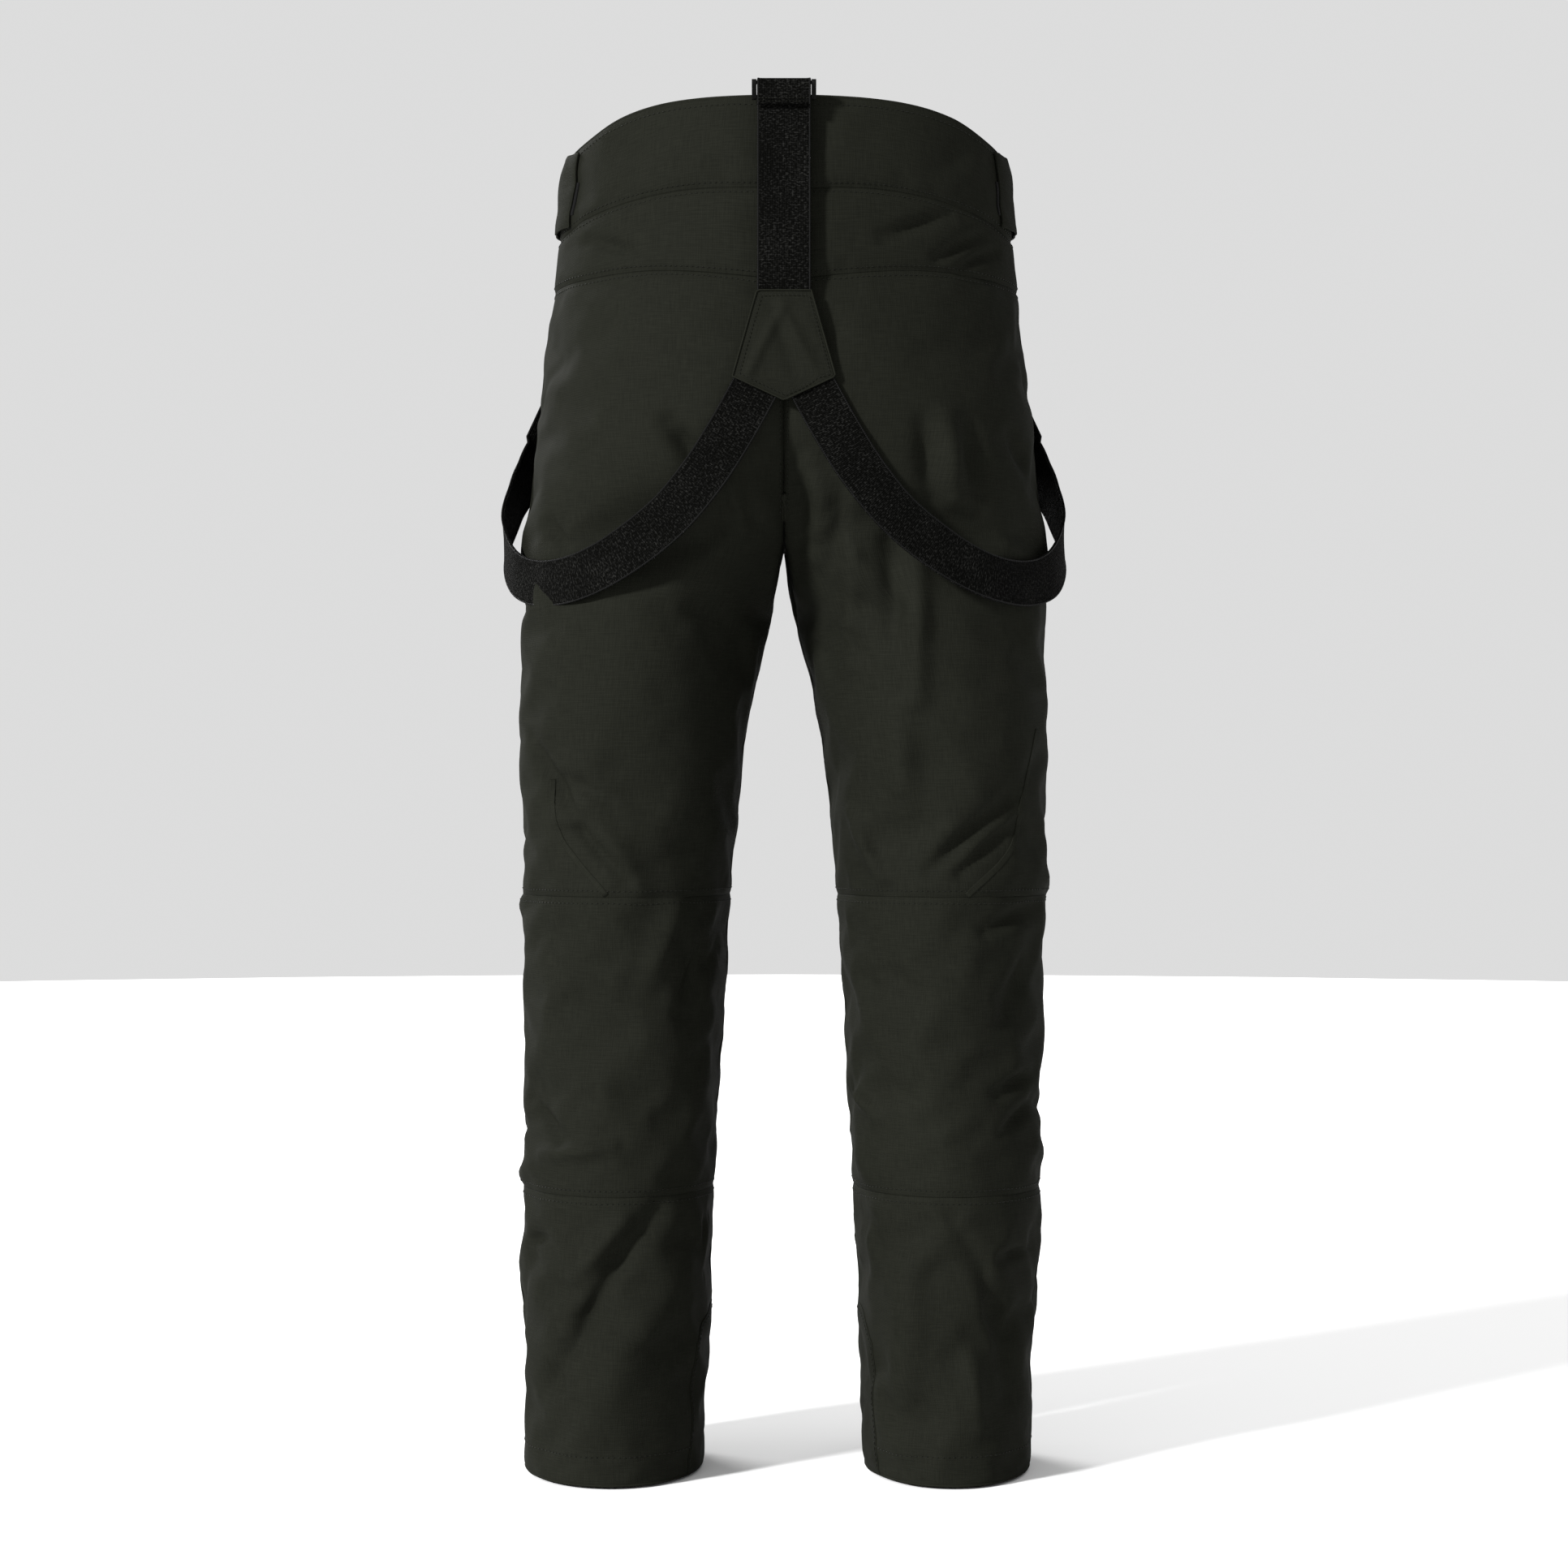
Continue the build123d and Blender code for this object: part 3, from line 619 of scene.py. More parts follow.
# Folds as (height in mm, half width in mm, ((x, z), ...)), ridges positive and valleys negative
BACK_FOLDS = (
    (-6.5, 9, ((87, 818), (64, 785))), (3.5, 7, ((41, 773), (33, 745))),
    (3.5, 9, ((-20, 790), (-30, 759), (-26, 719))), (-3, 8, ((-12, 775), (-16, 735))),
    (-3, 8, ((-44, 768), (-38, 719))), (5, 12, ((-123, 822), (-131, 765))),
    (-4, 10, ((-107, 818), (-113, 763))), (-4, 9, ((-143, 818), (-149, 769))),
    (-4, 7, ((-178, 815), (-192, 785))), (5, 10, ((-103, 712), (-103, 610))),
    (4, 9, ((-54, 722), (-54, 636))), (-5, 10, ((-82, 730), (-82, 655))),
    (-4, 6, ((182, 745), (170, 727))), (-5, 7, ((200, 580), (180, 547), (158, 510))),
    (-4.5, 6, ((175, 508), (155, 505), (130, 480), (122, 470))), (-3, 7, ((169, 548), (135, 530))),
    (4, 14, ((150, 527), (113, 463))), (-5, 10, ((60, 418), (77, 365))),
    (4, 12, ((83, 448), (105, 391))), (-4.5, 6, ((196, 295), (173, 267))),
    (4, 7, ((188, 254), (133, 264))), (4, 6, ((-52, 522), (-75, 471))),
    (4.5, 14, ((-88, 600), (-94, 525))), (-5, 8, ((-175, 530), (-111, 477))),
    (-4, 6, ((-181, 513), (-136, 474))), (-4.5, 7, ((-200, 449), (-156, 430))),
    (-4, 9, ((-198, 421), (-170, 359))), (-4, 6, ((-198, 318), (-166, 304))),
    (-4, 6, ((-198, 295), (-170, 272))), (4, 6, ((-52, 309), (-71, 284))),
    (4, 6, ((-53, 267), (-63, 236))), (4.5, 28, ((70, 190), (100, 140), (130, 90), (150, 50))),
    (-4.5, 9, ((97, 216), (131, 169), (158, 116), (182, 76))), (4, 8, ((125, 206), (161, 161))),
    (-4, 5, ((202, 183), (188, 189))), (-4, 5, ((182, 89), (172, 72))),
    (5, 16, ((-95, 172), (-95, 30))), (4.5, 7, ((-69, 211), (-59, 161))),
    (-4, 10, ((-130, 205), (-156, 167), (-172, 110), (-175, 66))), (4, 10, ((-143, 102), (-150, 45))),
    (-4, 5, ((-170, 175), (-195, 178))), (-3, 6, ((152, 967), (115, 952))),
    (-3, 6, ((-76, 962), (-128, 984))), (-3.5, 6, ((-118, 948), (-154, 970))),
    (-3, 5, ((-137, 943), (-166, 960))),
)
FRONT_FOLDS = (
    (-4, 8, ((22, 768), (60, 790), (110, 798))), (3.5, 8, ((22, 750), (58, 765), (104, 768))),
    (-4, 8, ((-22, 765), (-55, 782), (-100, 795))), (3.5, 8, ((-22, 748), (-60, 760), (-108, 772))),
    (-4, 7, ((34, 700), (70, 722))), (-4, 7, ((-32, 696), (-66, 715))),
    (4, 14, ((122, 700), (120, 560))), (4, 14, ((-118, 690), (-122, 545))),
    (-4, 9, ((75, 640), (70, 560))), (-4, 9, ((-72, 650), (-78, 570))),
    (-5, 8, ((66, 520), (110, 497), (150, 505))), (-5, 8, ((-60, 512), (-100, 492), (-148, 508))),
    (-5, 8, ((62, 282), (112, 266), (170, 280))), (-4.5, 8, ((-64, 292), (-108, 268), (-160, 276))),
    (4, 8, ((68, 262), (120, 246), (172, 262))), (4, 8, ((-66, 258), (-118, 244), (-166, 258))),
    (-5, 10, ((180, 200), (150, 150), (128, 90))), (5.5, 12, ((160, 208), (128, 150), (104, 70))),
    (-5, 10, ((-176, 190), (-146, 140), (-132, 60))), (5, 12, ((-150, 205), (-120, 150), (-108, 60))),
    (-3.5, 8, ((85, 120), (80, 50))), (-3.5, 8, ((-82, 130), (-84, 50))),
    (-3, 8, ((150, 905), (118, 880))), (-3, 8, ((-150, 900), (-122, 872))),
)
SIDE_FOLDS = (
    (-4, 8, ((60, 700), (10, 690), (-50, 706))), (-4, 8, ((40, 520), (0, 500), (-50, 512))),
    (4, 9, ((50, 470), (0, 452), (-40, 466))), (-5, 8, ((55, 290), (5, 272), (-45, 284))),
    (4.5, 9, ((50, 250), (0, 240), (-50, 252))), (-5, 10, ((48, 180), (14, 120), (-30, 60))),
    (5, 12, ((20, 190), (-20, 120), (-50, 70))), (-3, 8, ((60, 880), (20, 850), (-30, 842))),
)


FOLD_DEPTH, FOLD_SPREAD = 1.9, 0.85
SIDE_DEPTH = 0.42
SEAM_GROOVE = 0.85
GAITER_TOP, DEEPEST_AT_GAITER = 210, 7


def near_stroke(x, z, points):
    """Distance from a fold's line, and how far along it, as a share of its length."""
    best, best_share = 1e9, 0.0
    count = len(points) - 1
    for i, ((ax, az), (bx, bz)) in enumerate(zip(points, points[1:])):
        dx, dz = bx - ax, bz - az
        t = min(1, max(0, ((x - ax) * dx + (z - az) * dz) / (dx * dx + dz * dz)))
        distance = math.hypot(x - ax - t * dx, z - az - t * dz)
        if distance < best:
            best, best_share = distance, (i + t) / count
    return best, best_share


def fold_height(x, z, folds):
    total = 0.0
    for height, width, points in folds:
        reach = 2.6 * width
        if not min(p[1] for p in points) - reach < z < max(p[1] for p in points) + reach:
            continue
        distance, share = near_stroke(x, z, points)
        if distance < reach:
            fade = 0.35 + 0.65 * math.sin(math.pi * min(max(share, 0.08), 0.92))
            total += FOLD_DEPTH * height * fade * math.exp(-(distance / (FOLD_SPREAD * width)) ** 2)
    return total


def near_zip(point):
    """How much a place is under a zip or tab in front, where the cloth stays flat."""
    x, y, z = point
    if y > 0:
        return 0.0
    keep = max(0, 1 - max(0, abs(x) - 16) / 24) * (1 if z > 840 else max(0, 1 - (840 - z) / 30))
    pocket_x = 86 + (980 - z) / 146 * 14
    if z > 815:
        keep = max(keep, max(0, 1 - max(0, abs(abs(x) - pocket_x) - 14) / 20))
    return keep


def roughen(bm):
    """Small unevenness of filled cloth, along the shell's normals."""
    moves = []
    for vertex in bm.verts:
        x, y, z = vertex.co / MM
        slow = noise.noise(Vector((x / 55, y / 55, z / 85))) * 1.8
        quick = noise.noise(Vector((x / 22 + 40, y / 22, z / 34))) * 0.7
        height = (slow + quick) * (1 if z < 930 else 0.4) * (0.6 if z < 10 else 1)
        moves.append(vertex.normal * height * (1 - near_zip((x, y, z))) * MM)
    for vertex, move in zip(bm.verts, moves):
        vertex.co += move


def fold_body(bm):
    """Push folds and creases into the shell, along its normals."""
    moves = []
    for vertex in bm.verts:
        x, y, z = vertex.co / MM
        normal = vertex.normal
        facing = normal.y
        height = 0.0
        if facing > 0.15:
            height += fold_height(x, z, BACK_FOLDS) * min(1, (facing - 0.15) / 0.45)
        if facing < -0.15:
            height += fold_height(x, z, FRONT_FOLDS) * min(1, (-facing - 0.15) / 0.3)
        outward = normal.x * (1 if x > 0 else -1)
        if outward > 0.4 and abs(x) > 60:
            shift = 8 if x > 0 else -8
            height += SIDE_DEPTH * fold_height(y, z + shift, SIDE_FOLDS) * min(1, (outward - 0.4) / 0.3)
        height *= (0.4 if z > 1000 else 1) * (0.6 if z < 10 else 1) * (1 - near_zip((x, y, z)))
        if z < GAITER_TOP:
            height = max(height, -DEEPEST_AT_GAITER)
        moves.append(normal * height * MM)
    for vertex, move in zip(bm.verts, moves):
        vertex.co += move


def on_seam(vertex, layer):
    """Whether a vertex lies on a seam, an edge or the centre line."""
    return vertex.is_boundary or len({face[layer] for face in vertex.link_faces}) > 1


SETTLING_STEPS = 20


def settle_cloth(obj, held):
    """Let the shell fill out and wrinkle between its seams, with each point's travel capped."""
    cap = 6 * MM
    group = obj.vertex_groups.new(name="held")
    group.add(held, 1.0, "REPLACE")
    start = [vertex.co.copy() for vertex in obj.data.vertices]
    cloth = obj.modifiers.new("settle", "CLOTH")
    settings = cloth.settings
    settings.quality = 4
    settings.mass = 0.25
    settings.tension_stiffness = 12
    settings.compression_stiffness = 12
    settings.shear_stiffness = 5
    settings.bending_stiffness = 0.35
    settings.vertex_group_mass = "held"
    settings.pin_stiffness = 1.0
    settings.use_pressure = True
    settings.uniform_pressure_force = 0.35
    settings.shrink_min = -0.014
    settings.shrink_max = -0.014
    settings.effector_weights.gravity = 0
    cloth.collision_settings.use_collision = False
    cloth.collision_settings.use_self_collision = False
    cloth.point_cache.frame_start, cloth.point_cache.frame_end = 1, SETTLING_STEPS
    for step in range(1, SETTLING_STEPS + 1):
        bpy.context.scene.frame_set(step)
    graph = bpy.context.evaluated_depsgraph_get()
    settled = obj.evaluated_get(graph).to_mesh()
    places = [vertex.co.copy() for vertex in settled.vertices]
    obj.evaluated_get(graph).to_mesh_clear()
    obj.modifiers.clear()
    bpy.context.scene.frame_set(1)
    for vertex, before, after in zip(obj.data.vertices, start, places):
        move = after - before
        if move.length > cap:
            move *= cap / move.length
        vertex.co = before + move


def finished_body():
    """Shell mesh with folds, settled cloth, seam grooves and one subdivision."""
    bm = build_body()
    bm.normal_update()
    roughen(bm)
    layer = bm.faces.layers.int.get("panel")
    bm.verts.index_update()

    def beside_seam(vertex):
        return any(edge.calc_length() < 3 * MM and on_seam(edge.other_vert(vertex), layer)
                   for edge in vertex.link_edges)

    held = [vertex.index for vertex in bm.verts if on_seam(vertex, layer) or beside_seam(vertex)]
    mesh = bpy.data.meshes.new("shell")
    bm.to_mesh(mesh)
    bm.free()
    shell = bpy.data.objects.new("shell", mesh)
    bpy.context.collection.objects.link(shell)
    settle_cloth(shell, held)
    bm = bmesh.new()
    bm.from_mesh(shell.data)
    bm.normal_update()
    flatten_under_zips(bm)
    layer = bm.faces.layers.int.get("panel")
    grooves = []
    for vertex in bm.verts:
        kinds = {face[layer] % SIDE_STEP for face in vertex.link_faces}
        if len(kinds) > 1 and not vertex.is_boundary:
            grooves.append((vertex, vertex.normal * -SEAM_GROOVE * MM))
    for vertex, move in grooves:
        vertex.co += move
    bm.to_mesh(shell.data)
    bm.free()
    rounding = shell.modifiers.new("rounding", "SUBSURF")
    rounding.levels = rounding.render_levels = 1
    baked(shell)
    bm = bmesh.new()
    bm.from_mesh(shell.data)
    bm.normal_update()
    fold_body(bm)
    bm.to_mesh(shell.data)
    bm.free()
    return shell


FLY_TOP = Vector((0, -120, 980))
FLY_AXES = (Vector((1, 0, 0)), Vector((0, 0, 1)), Vector((0, -1, 0)))
POCKET_TOP = Vector((86, -106.265, 980))
POCKET_UP = Vector((-0.095411, 0.029459, 0.995002))
POCKET_ACROSS = Vector((0.934043, 0.348256, 0.079255))


def zip_frame(kind, sign=1):
    """(origin, across, up, out) and length of the fly or a pocket zip in mm."""
    if kind == "fly":
        return (FLY_TOP, *FLY_AXES), 128
    out = POCKET_ACROSS.cross(POCKET_UP)
    return tuple(mirrored(v, sign) for v in (POCKET_TOP, POCKET_ACROSS, POCKET_UP, out)), 146


# kind, side, name of its pieces, name of its node
ZIPS = (("fly", 1, "fly", "fly_zip"), ("pocket", 1, "pocket_left", "pocket_zip_left"),
        ("pocket", -1, "pocket_right", "pocket_zip_right"))


def flatten_under_zips(bm):
    """Lay the shell flat just under each zip tape."""
    for kind, sign, _, _ in ZIPS:
        (origin, across, up, out), length = zip_frame(kind, sign)
        for vertex in bm.verts:
            offset = vertex.co / MM - origin
            a, u, o = offset.dot(across), offset.dot(up), offset.dot(out)
            if abs(o) > 20:
                continue
            past = max(0, abs(a) - 9, (u - 2) * 1.0, -u - length - 2)
            if past < 16:
                share = 1 - past / 16
                share = share * share * (3 - 2 * share)
                vertex.co += out * (-0.7 - o) * share * MM


shell = finished_body()
graph = bpy.context.evaluated_depsgraph_get()
skin = BVHTree.FromObject(shell, graph)
print("shell", len(shell.data.vertices), len(shell.data.polygons))


# ------------------------------------------------------------------ panels of the shell
SHELL_CLOTH, BAND_CLOTH = 1.0, 3.0      # thickness in mm
LINING_DEPTH = 5.2                      # lining inside the shell, over its wadding


def offset_copy(keep, offset, thick):
    """Part of the shell moved along its normals and given thickness inwards, in mm."""
    bm = bmesh.new()
    bm.from_mesh(shell.data)
    layer = bm.faces.layers.int.get("panel")
    bm.normal_update()
    moves = [vertex.normal * offset * MM for vertex in bm.verts]
    for vertex, move in zip(bm.verts, moves):
        vertex.co += move
    gone = [face for face in bm.faces if not keep(face[layer] // SIDE_STEP, face[layer] % SIDE_STEP,
                                                  face.calc_center_median() / MM)]
    bmesh.ops.delete(bm, geom=gone, context="FACES")
    return thickened(bm, thick)


def cut_panel(name, body, node, chosen, thick=SHELL_CLOTH):
    """Padded piece of the shell: the panels for which chosen(side, kind) holds."""
    bm = offset_copy(lambda side, kind, _: chosen(side, kind), 0, thick)
    new_piece(name, bm, shell_cloth, body, [node])


def make_shell_panels():
    """Each sewn shell panel as its own piece."""
    for number, (side, _) in enumerate(SIDES):
        for kind, prefix, name in ((FRONT, "shell", "front_panel"), (BACK, "shell", "back_panel"),
                                   (KNEE_FRONT, "bending", "knee_front"),
                                   (KNEE_BACK, "bending", "knee_back"),
                                   (SHIN, "shell", "shin_panel"), (CALF, "shell", "calf_panel")):
            body = ROOT if kind in (FRONT, BACK) else f"lower_leg_{side}"
            cut_panel(f"{prefix}_{name}_{side}", body, f"{name}_{side}",
                      lambda s, k: s == number and k == kind)
        cut_panel(f"shell_waistband_front_{side}", ROOT, f"waistband_front_{side}",
                  lambda s, k: s == number and k == BAND_FRONT, BAND_CLOTH)
    cut_panel("shell_back_yoke", ROOT, "back_yoke", lambda _, k: k == YOKE)
    cut_panel("shell_waistband_back", ROOT, "waistband_back", lambda _, k: k == BAND_BACK,
              BAND_CLOTH)


make_shell_panels()


# ------------------------------------------------------------------ seams and stitching
def on_skin(places, lift=0.0, closed=False):
    """Stations on the shell nearest to the places, lifted along its normals, in mm."""
    found = []
    for place in places:
        spot, normal, _, _ = skin.find_nearest(place * MM)
        found.append((spot / MM + normal * lift, normal))
    made, last = [], len(found) - 1
    for i, (place, normal) in enumerate(found):
        before = found[i - 1][0] if i or closed else place
        after = found[(i + 1) % (last + 1)][0] if i < last or closed else place
        along = (after - before).normalized()
        side = along.cross(normal).normalized()
        made.append((place, side, side.cross(along)))
    return made


def drawn_line(points, facing=1, spacing=3.0):
    """Places along a line drawn on the back (facing 1) or the front (-1), given as (x, z)."""
    fine = curve_through([Vector((x, 0, z)) for x, z in points], spacing)
    hits = []
    for place in fine:
        start = Vector((place.x * MM, 0.4 * facing, place.z * MM))
        spot, _, _, _ = skin.ray_cast(start, Vector((0, -facing, 0)))
        hits.append(spot / MM if spot else place)
    return hits


def ring_line(sign, height, count=150):
    """Places round one leg at a height."""
    return [leg_point(sign, height, 360 * i / count) for i in range(count)]


def trunk_line(table, lift=0.0, count=170):
    """Places round the waist along a table of heights, closed."""
    right = [trunk_point(-1, smooth_between(table, 180 * i / count - 90, 1) + lift, i / count)
             for i in range(count + 1)]
    left = [trunk_point(1, smooth_between(table, 90 - 180 * i / count, 1) + lift, 1 - i / count)
            for i in range(1, count)]
    return right + left


def make_stitching():
    """Stitch rows beside the waist, yoke, knee, calf and hem seams, and down the centre back."""
    bm = bmesh.new()
    for line, lift in ((WAIST_LINE, 4), (WAIST_LINE, -4), (TOP_LINE, -8)):
        add_stitches(bm, on_skin(trunk_line(line, lift), 0.2, True))
    for lift in (4, -3.5):
        add_stitches(bm, on_skin([place for place in trunk_line(YOKE_LINE, lift) if place.y > 2], 0.2))
    for x in (-3, 3):
        add_stitches(bm, on_skin(drawn_line(((x, 836), (x, 790), (x, 752))), 0.25))
    new_piece("trunk_stitching", bm, thread, ROOT)
    for side, sign in SIDES:
        for name, heights, body in (("bending", (KNEE_SEAM - 5, CALF_SEAM + 5), f"lower_leg_{side}"),
                                    ("hem", (HEM_SEAM, CALF_SEAM - 5), f"lower_leg_{side}"),
                                    ("thigh", (KNEE_SEAM + 5,), ROOT)):
            bm = bmesh.new()
            for height in heights:
                add_stitches(bm, on_skin(ring_line(sign, height), 0.2, True))
            new_piece(f"{name}_stitching_{side}", bm, thread, body)


LAP = strap_profile(5.0, 0.9, 4)


def add_lap(name, places, body=ROOT):
    """Folded seam edge laid on the shell along the places, in shell cloth made lighter as a painted
    highlight.
    """
    new_piece(name, sweep(on_skin(places, 0.1), LAP), fold_edge_painted_highlight, body)


def make_seam_laps():
    """Folded seam edges down the centre back, the side seams and round the side panels."""
    add_lap("centre_back_seam", drawn_line(((0, 850), (0, 800), (0, 748))))
    add_lap("centre_front_seam", drawn_line(((0, 846), (0, 800), (0, 748)), -1))
    for side, sign in SIDES:
        outseam = [trunk_point(sign, z, 0.5) for z in range(968, CROTCH, -6)]
        outseam += [leg_point(sign, z, 0) for z in range(CROTCH, KNEE_SEAM, -6)]
        add_lap(f"thigh_outseam_{side}", evenly(outseam, 4))
        inseam = [leg_point(sign, z, 180) for z in range(726, KNEE_SEAM, -6)]
        add_lap(f"thigh_inseam_{side}", evenly(inseam, 4))
        for name, angle in (("outseam", 0), ("inseam", 180)):
            for part, top, low in (("bending_knee", KNEE_SEAM - 2, CALF_SEAM),
                                   ("calf", CALF_SEAM - 2, 2)):
                run = [leg_point(sign, z, angle) for z in range(top, low, -6)]
                add_lap(f"{part}_{name}_{side}", evenly(run, 4), f"lower_leg_{side}")
    curve_left = drawn_line(((180, 547), (180, 527), (175, 505), (161, 485), (137, 457.5)))
    curve_right = drawn_line(((-198, 586), (-186, 533), (-175, 491), (-141, 457.5)))
    add_lap("side_panel_seam_left", curve_left)
    add_lap("side_panel_seam_right", curve_right)


make_stitching()
make_seam_laps()


# ------------------------------------------------------------------ inside the garment
def make_linings():
    """Body lining to below the knee, kidney fleece, and the waist edge binding."""
    def in_upper(kind, place):
        return kind < BAND_FRONT and place.z > KNEE_SEAM and not (kind == FRONT and place.z > 976)

    def in_lower(kind, place):
        return kind < FRONT and place.z > 28

    def in_pocket(kind, place):
        return kind == FRONT and 804 < place.z < 950 and 45 < abs(place.x) < 141

    for number, (side, _) in enumerate(SIDES):
        for name, inside, depth, thick, body, node in (
                ("body_lining", in_upper, LINING_DEPTH, 1.0, ROOT, "lining"),
                ("bending_lining", in_lower, LINING_DEPTH, 1.0, f"lower_leg_{side}", "lining_lower"),
                ("pocket_bag_cloth", in_pocket, 2.0, 1.4, ROOT, "pocket_bag")):
            bm = offset_copy(lambda s, kind, place: s == number and inside(kind, place), -depth, thick)
            new_piece(f"{name}_{side}", bm, lining_cloth, body, [f"{node}_{side}"])
    fleece = offset_copy(lambda _, kind, place: kind == BAND_BACK and place.y > 20, -3.2, 2.0)
    piece = new_piece("kidney_fleece", fleece, kidney_fleece, ROOT, ["kidney_lining"])
    edge = [centre - out * 1.5 for centre, _, out in on_skin(trunk_line(TOP_LINE, -0.8), 0, True)]
    rim = stations_along(edge, closed=True)
    new_piece("waist_binding", sweep(rim, round_profile(1.5, 2.1), True), fold_edge_painted_highlight, ROOT)
    for side, sign in SIDES:
        hem = [centre - out * 0.6 for centre, _, out in on_skin(ring_line(sign, 0.8), 0, True)]
        roll = sweep(stations_along(hem, closed=True), round_profile(0.9, 1.2, 8), True)
        new_piece(f"hem_fold_{side}", roll, fold_edge_painted_highlight, f"lower_leg_{side}")


def gathered_tube(name, sign, heights, inset_at, folds, depth_at, thick, material, body, nodes):
    """Tube inside a leg, drawn in and gathered."""
    around = 240
    bm = bmesh.new()

    def place(column, row):
        z = heights[row]
        angle = 360 * column / around
        point = leg_point(sign, z, angle)
        middle = (leg_point(sign, z, 0) + leg_point(sign, z, 180)) / 2
        radial = point - middle
        turn = math.radians(angle)
        ripple = depth_at(z) * math.sin(turn * folds + 0.8 * math.sin(turn * 5))
        return middle + radial * (1 - (inset_at(z) - ripple) / radial.length)

    verts = make_grid(bm, around, len(heights) - 1, place,
                      lambda column, row: (column * 0.0021, heights[row] * MM))
    bmesh.ops.remove_doubles(bm, verts=verts, dist=0.01 * MM)
    bmesh.ops.recalc_face_normals(bm, faces=bm.faces)
    return new_piece(name, thickened(bm, thick), material, body, nodes)


def make_gaiters():
    """Snow gaiters drawn in to a gripper band."""
    foot, top, gathers = 30, 196, 34

    def inset_at(z):
        return 8.4 + 14 * (top - z) / (top - foot)

    def ripple_at(z):
        return 2.2 * max(0, 1 - (z - foot) / 120)

    for side, sign in SIDES:
        body = f"lower_leg_{side}"
        gaiter = gathered_tube(
            f"gathered_gaiter_{side}", sign, steps(foot, top, 6) + [top], inset_at, gathers, ripple_at,
            0.8, gaiter_cloth, body, [f"gaiter_{side}"])
        gathered_tube(
            f"gaiter_grip_{side}", sign, steps(foot, 48, 3) + [48], lambda _: 24.6, gathers,
            lambda _: 0.8, 1.4, gripper_rubber, body, [f"gaiter_elastic_{side}"])


def soften_edges(bm, edge, segments=2):
    """Bevel every sharp edge of a bmesh, in mm."""
    sharp = [e for e in bm.edges if len(e.link_faces) == 2 and e.calc_face_angle() > 0.9]
    bmesh.ops.bevel(bm, geom=sharp, offset=edge * MM, offset_type="OFFSET", segments=segments,
                    profile=0.5, affect="EDGES", material=-1, clamp_overlap=True)


def surface_patch(name, rows, columns, place, lift_at, thick, material, body, nodes, uv_step=0.004):
    """Patch laid over the shell: place(row share, column share) in mm, lift_at(column share) above it."""
    bm = bmesh.new()

    def lifted(column, row):
        spot, normal, _, _ = skin.find_nearest(place(row / rows, column / columns) * MM)
        return spot / MM + normal * lift_at(column / columns)

    make_grid(bm, columns, rows, lifted, lambda column, row: (column * uv_step, row * uv_step))
    bmesh.ops.recalc_face_normals(bm, faces=bm.faces)
    first = next(iter(bm.faces))
    _, normal, _, _ = skin.find_nearest(first.calc_center_median())
    if first.normal.dot(normal) < 0:
        bmesh.ops.reverse_faces(bm, faces=bm.faces)
    bm = thickened(bm, thick)
    soften_edges(bm, 0.5)
    return new_piece(name, bm, material, body, nodes)


GUARD_TOP, GUARD_DROP = 130, 26         # height in the middle, and how much lower at the ends
GUARD_SPAN = (147, 213)                 # degrees round the leg from its outside


def make_scuff_guards():
    """Sewn-on guards at the inside of each hem."""
    for side, sign in SIDES:
        def place(row, column):
            top = GUARD_TOP - GUARD_DROP * abs(2 * column - 1) ** 3
            start, end = GUARD_SPAN
            return leg_point(sign, 1 + (top - 1) * row, start + (end - start) * column)

        surface_patch(f"inner_scuff_guard_{side}", 30, 50, place, lambda _: 0.6, 0.8, scuff_cloth,
                      f"lower_leg_{side}", [f"scuff_guard_{side}"])
        bm = bmesh.new()
        edge = [place(row / 20, 0.02) for row in range(1, 20)]
        edge += [place(0.965, column / 40) for column in range(1, 40)]
        edge += [place(row / 20, 0.98) for row in range(19, 0, -1)]
        add_stitches(bm, on_skin(evenly(edge, 3), 1.0))
        new_piece(f"scuff_stitching_{side}", bm, thread, f"lower_leg_{side}")


# ------------------------------------------------------------------ zips
TOOTH_PITCH = 1.5


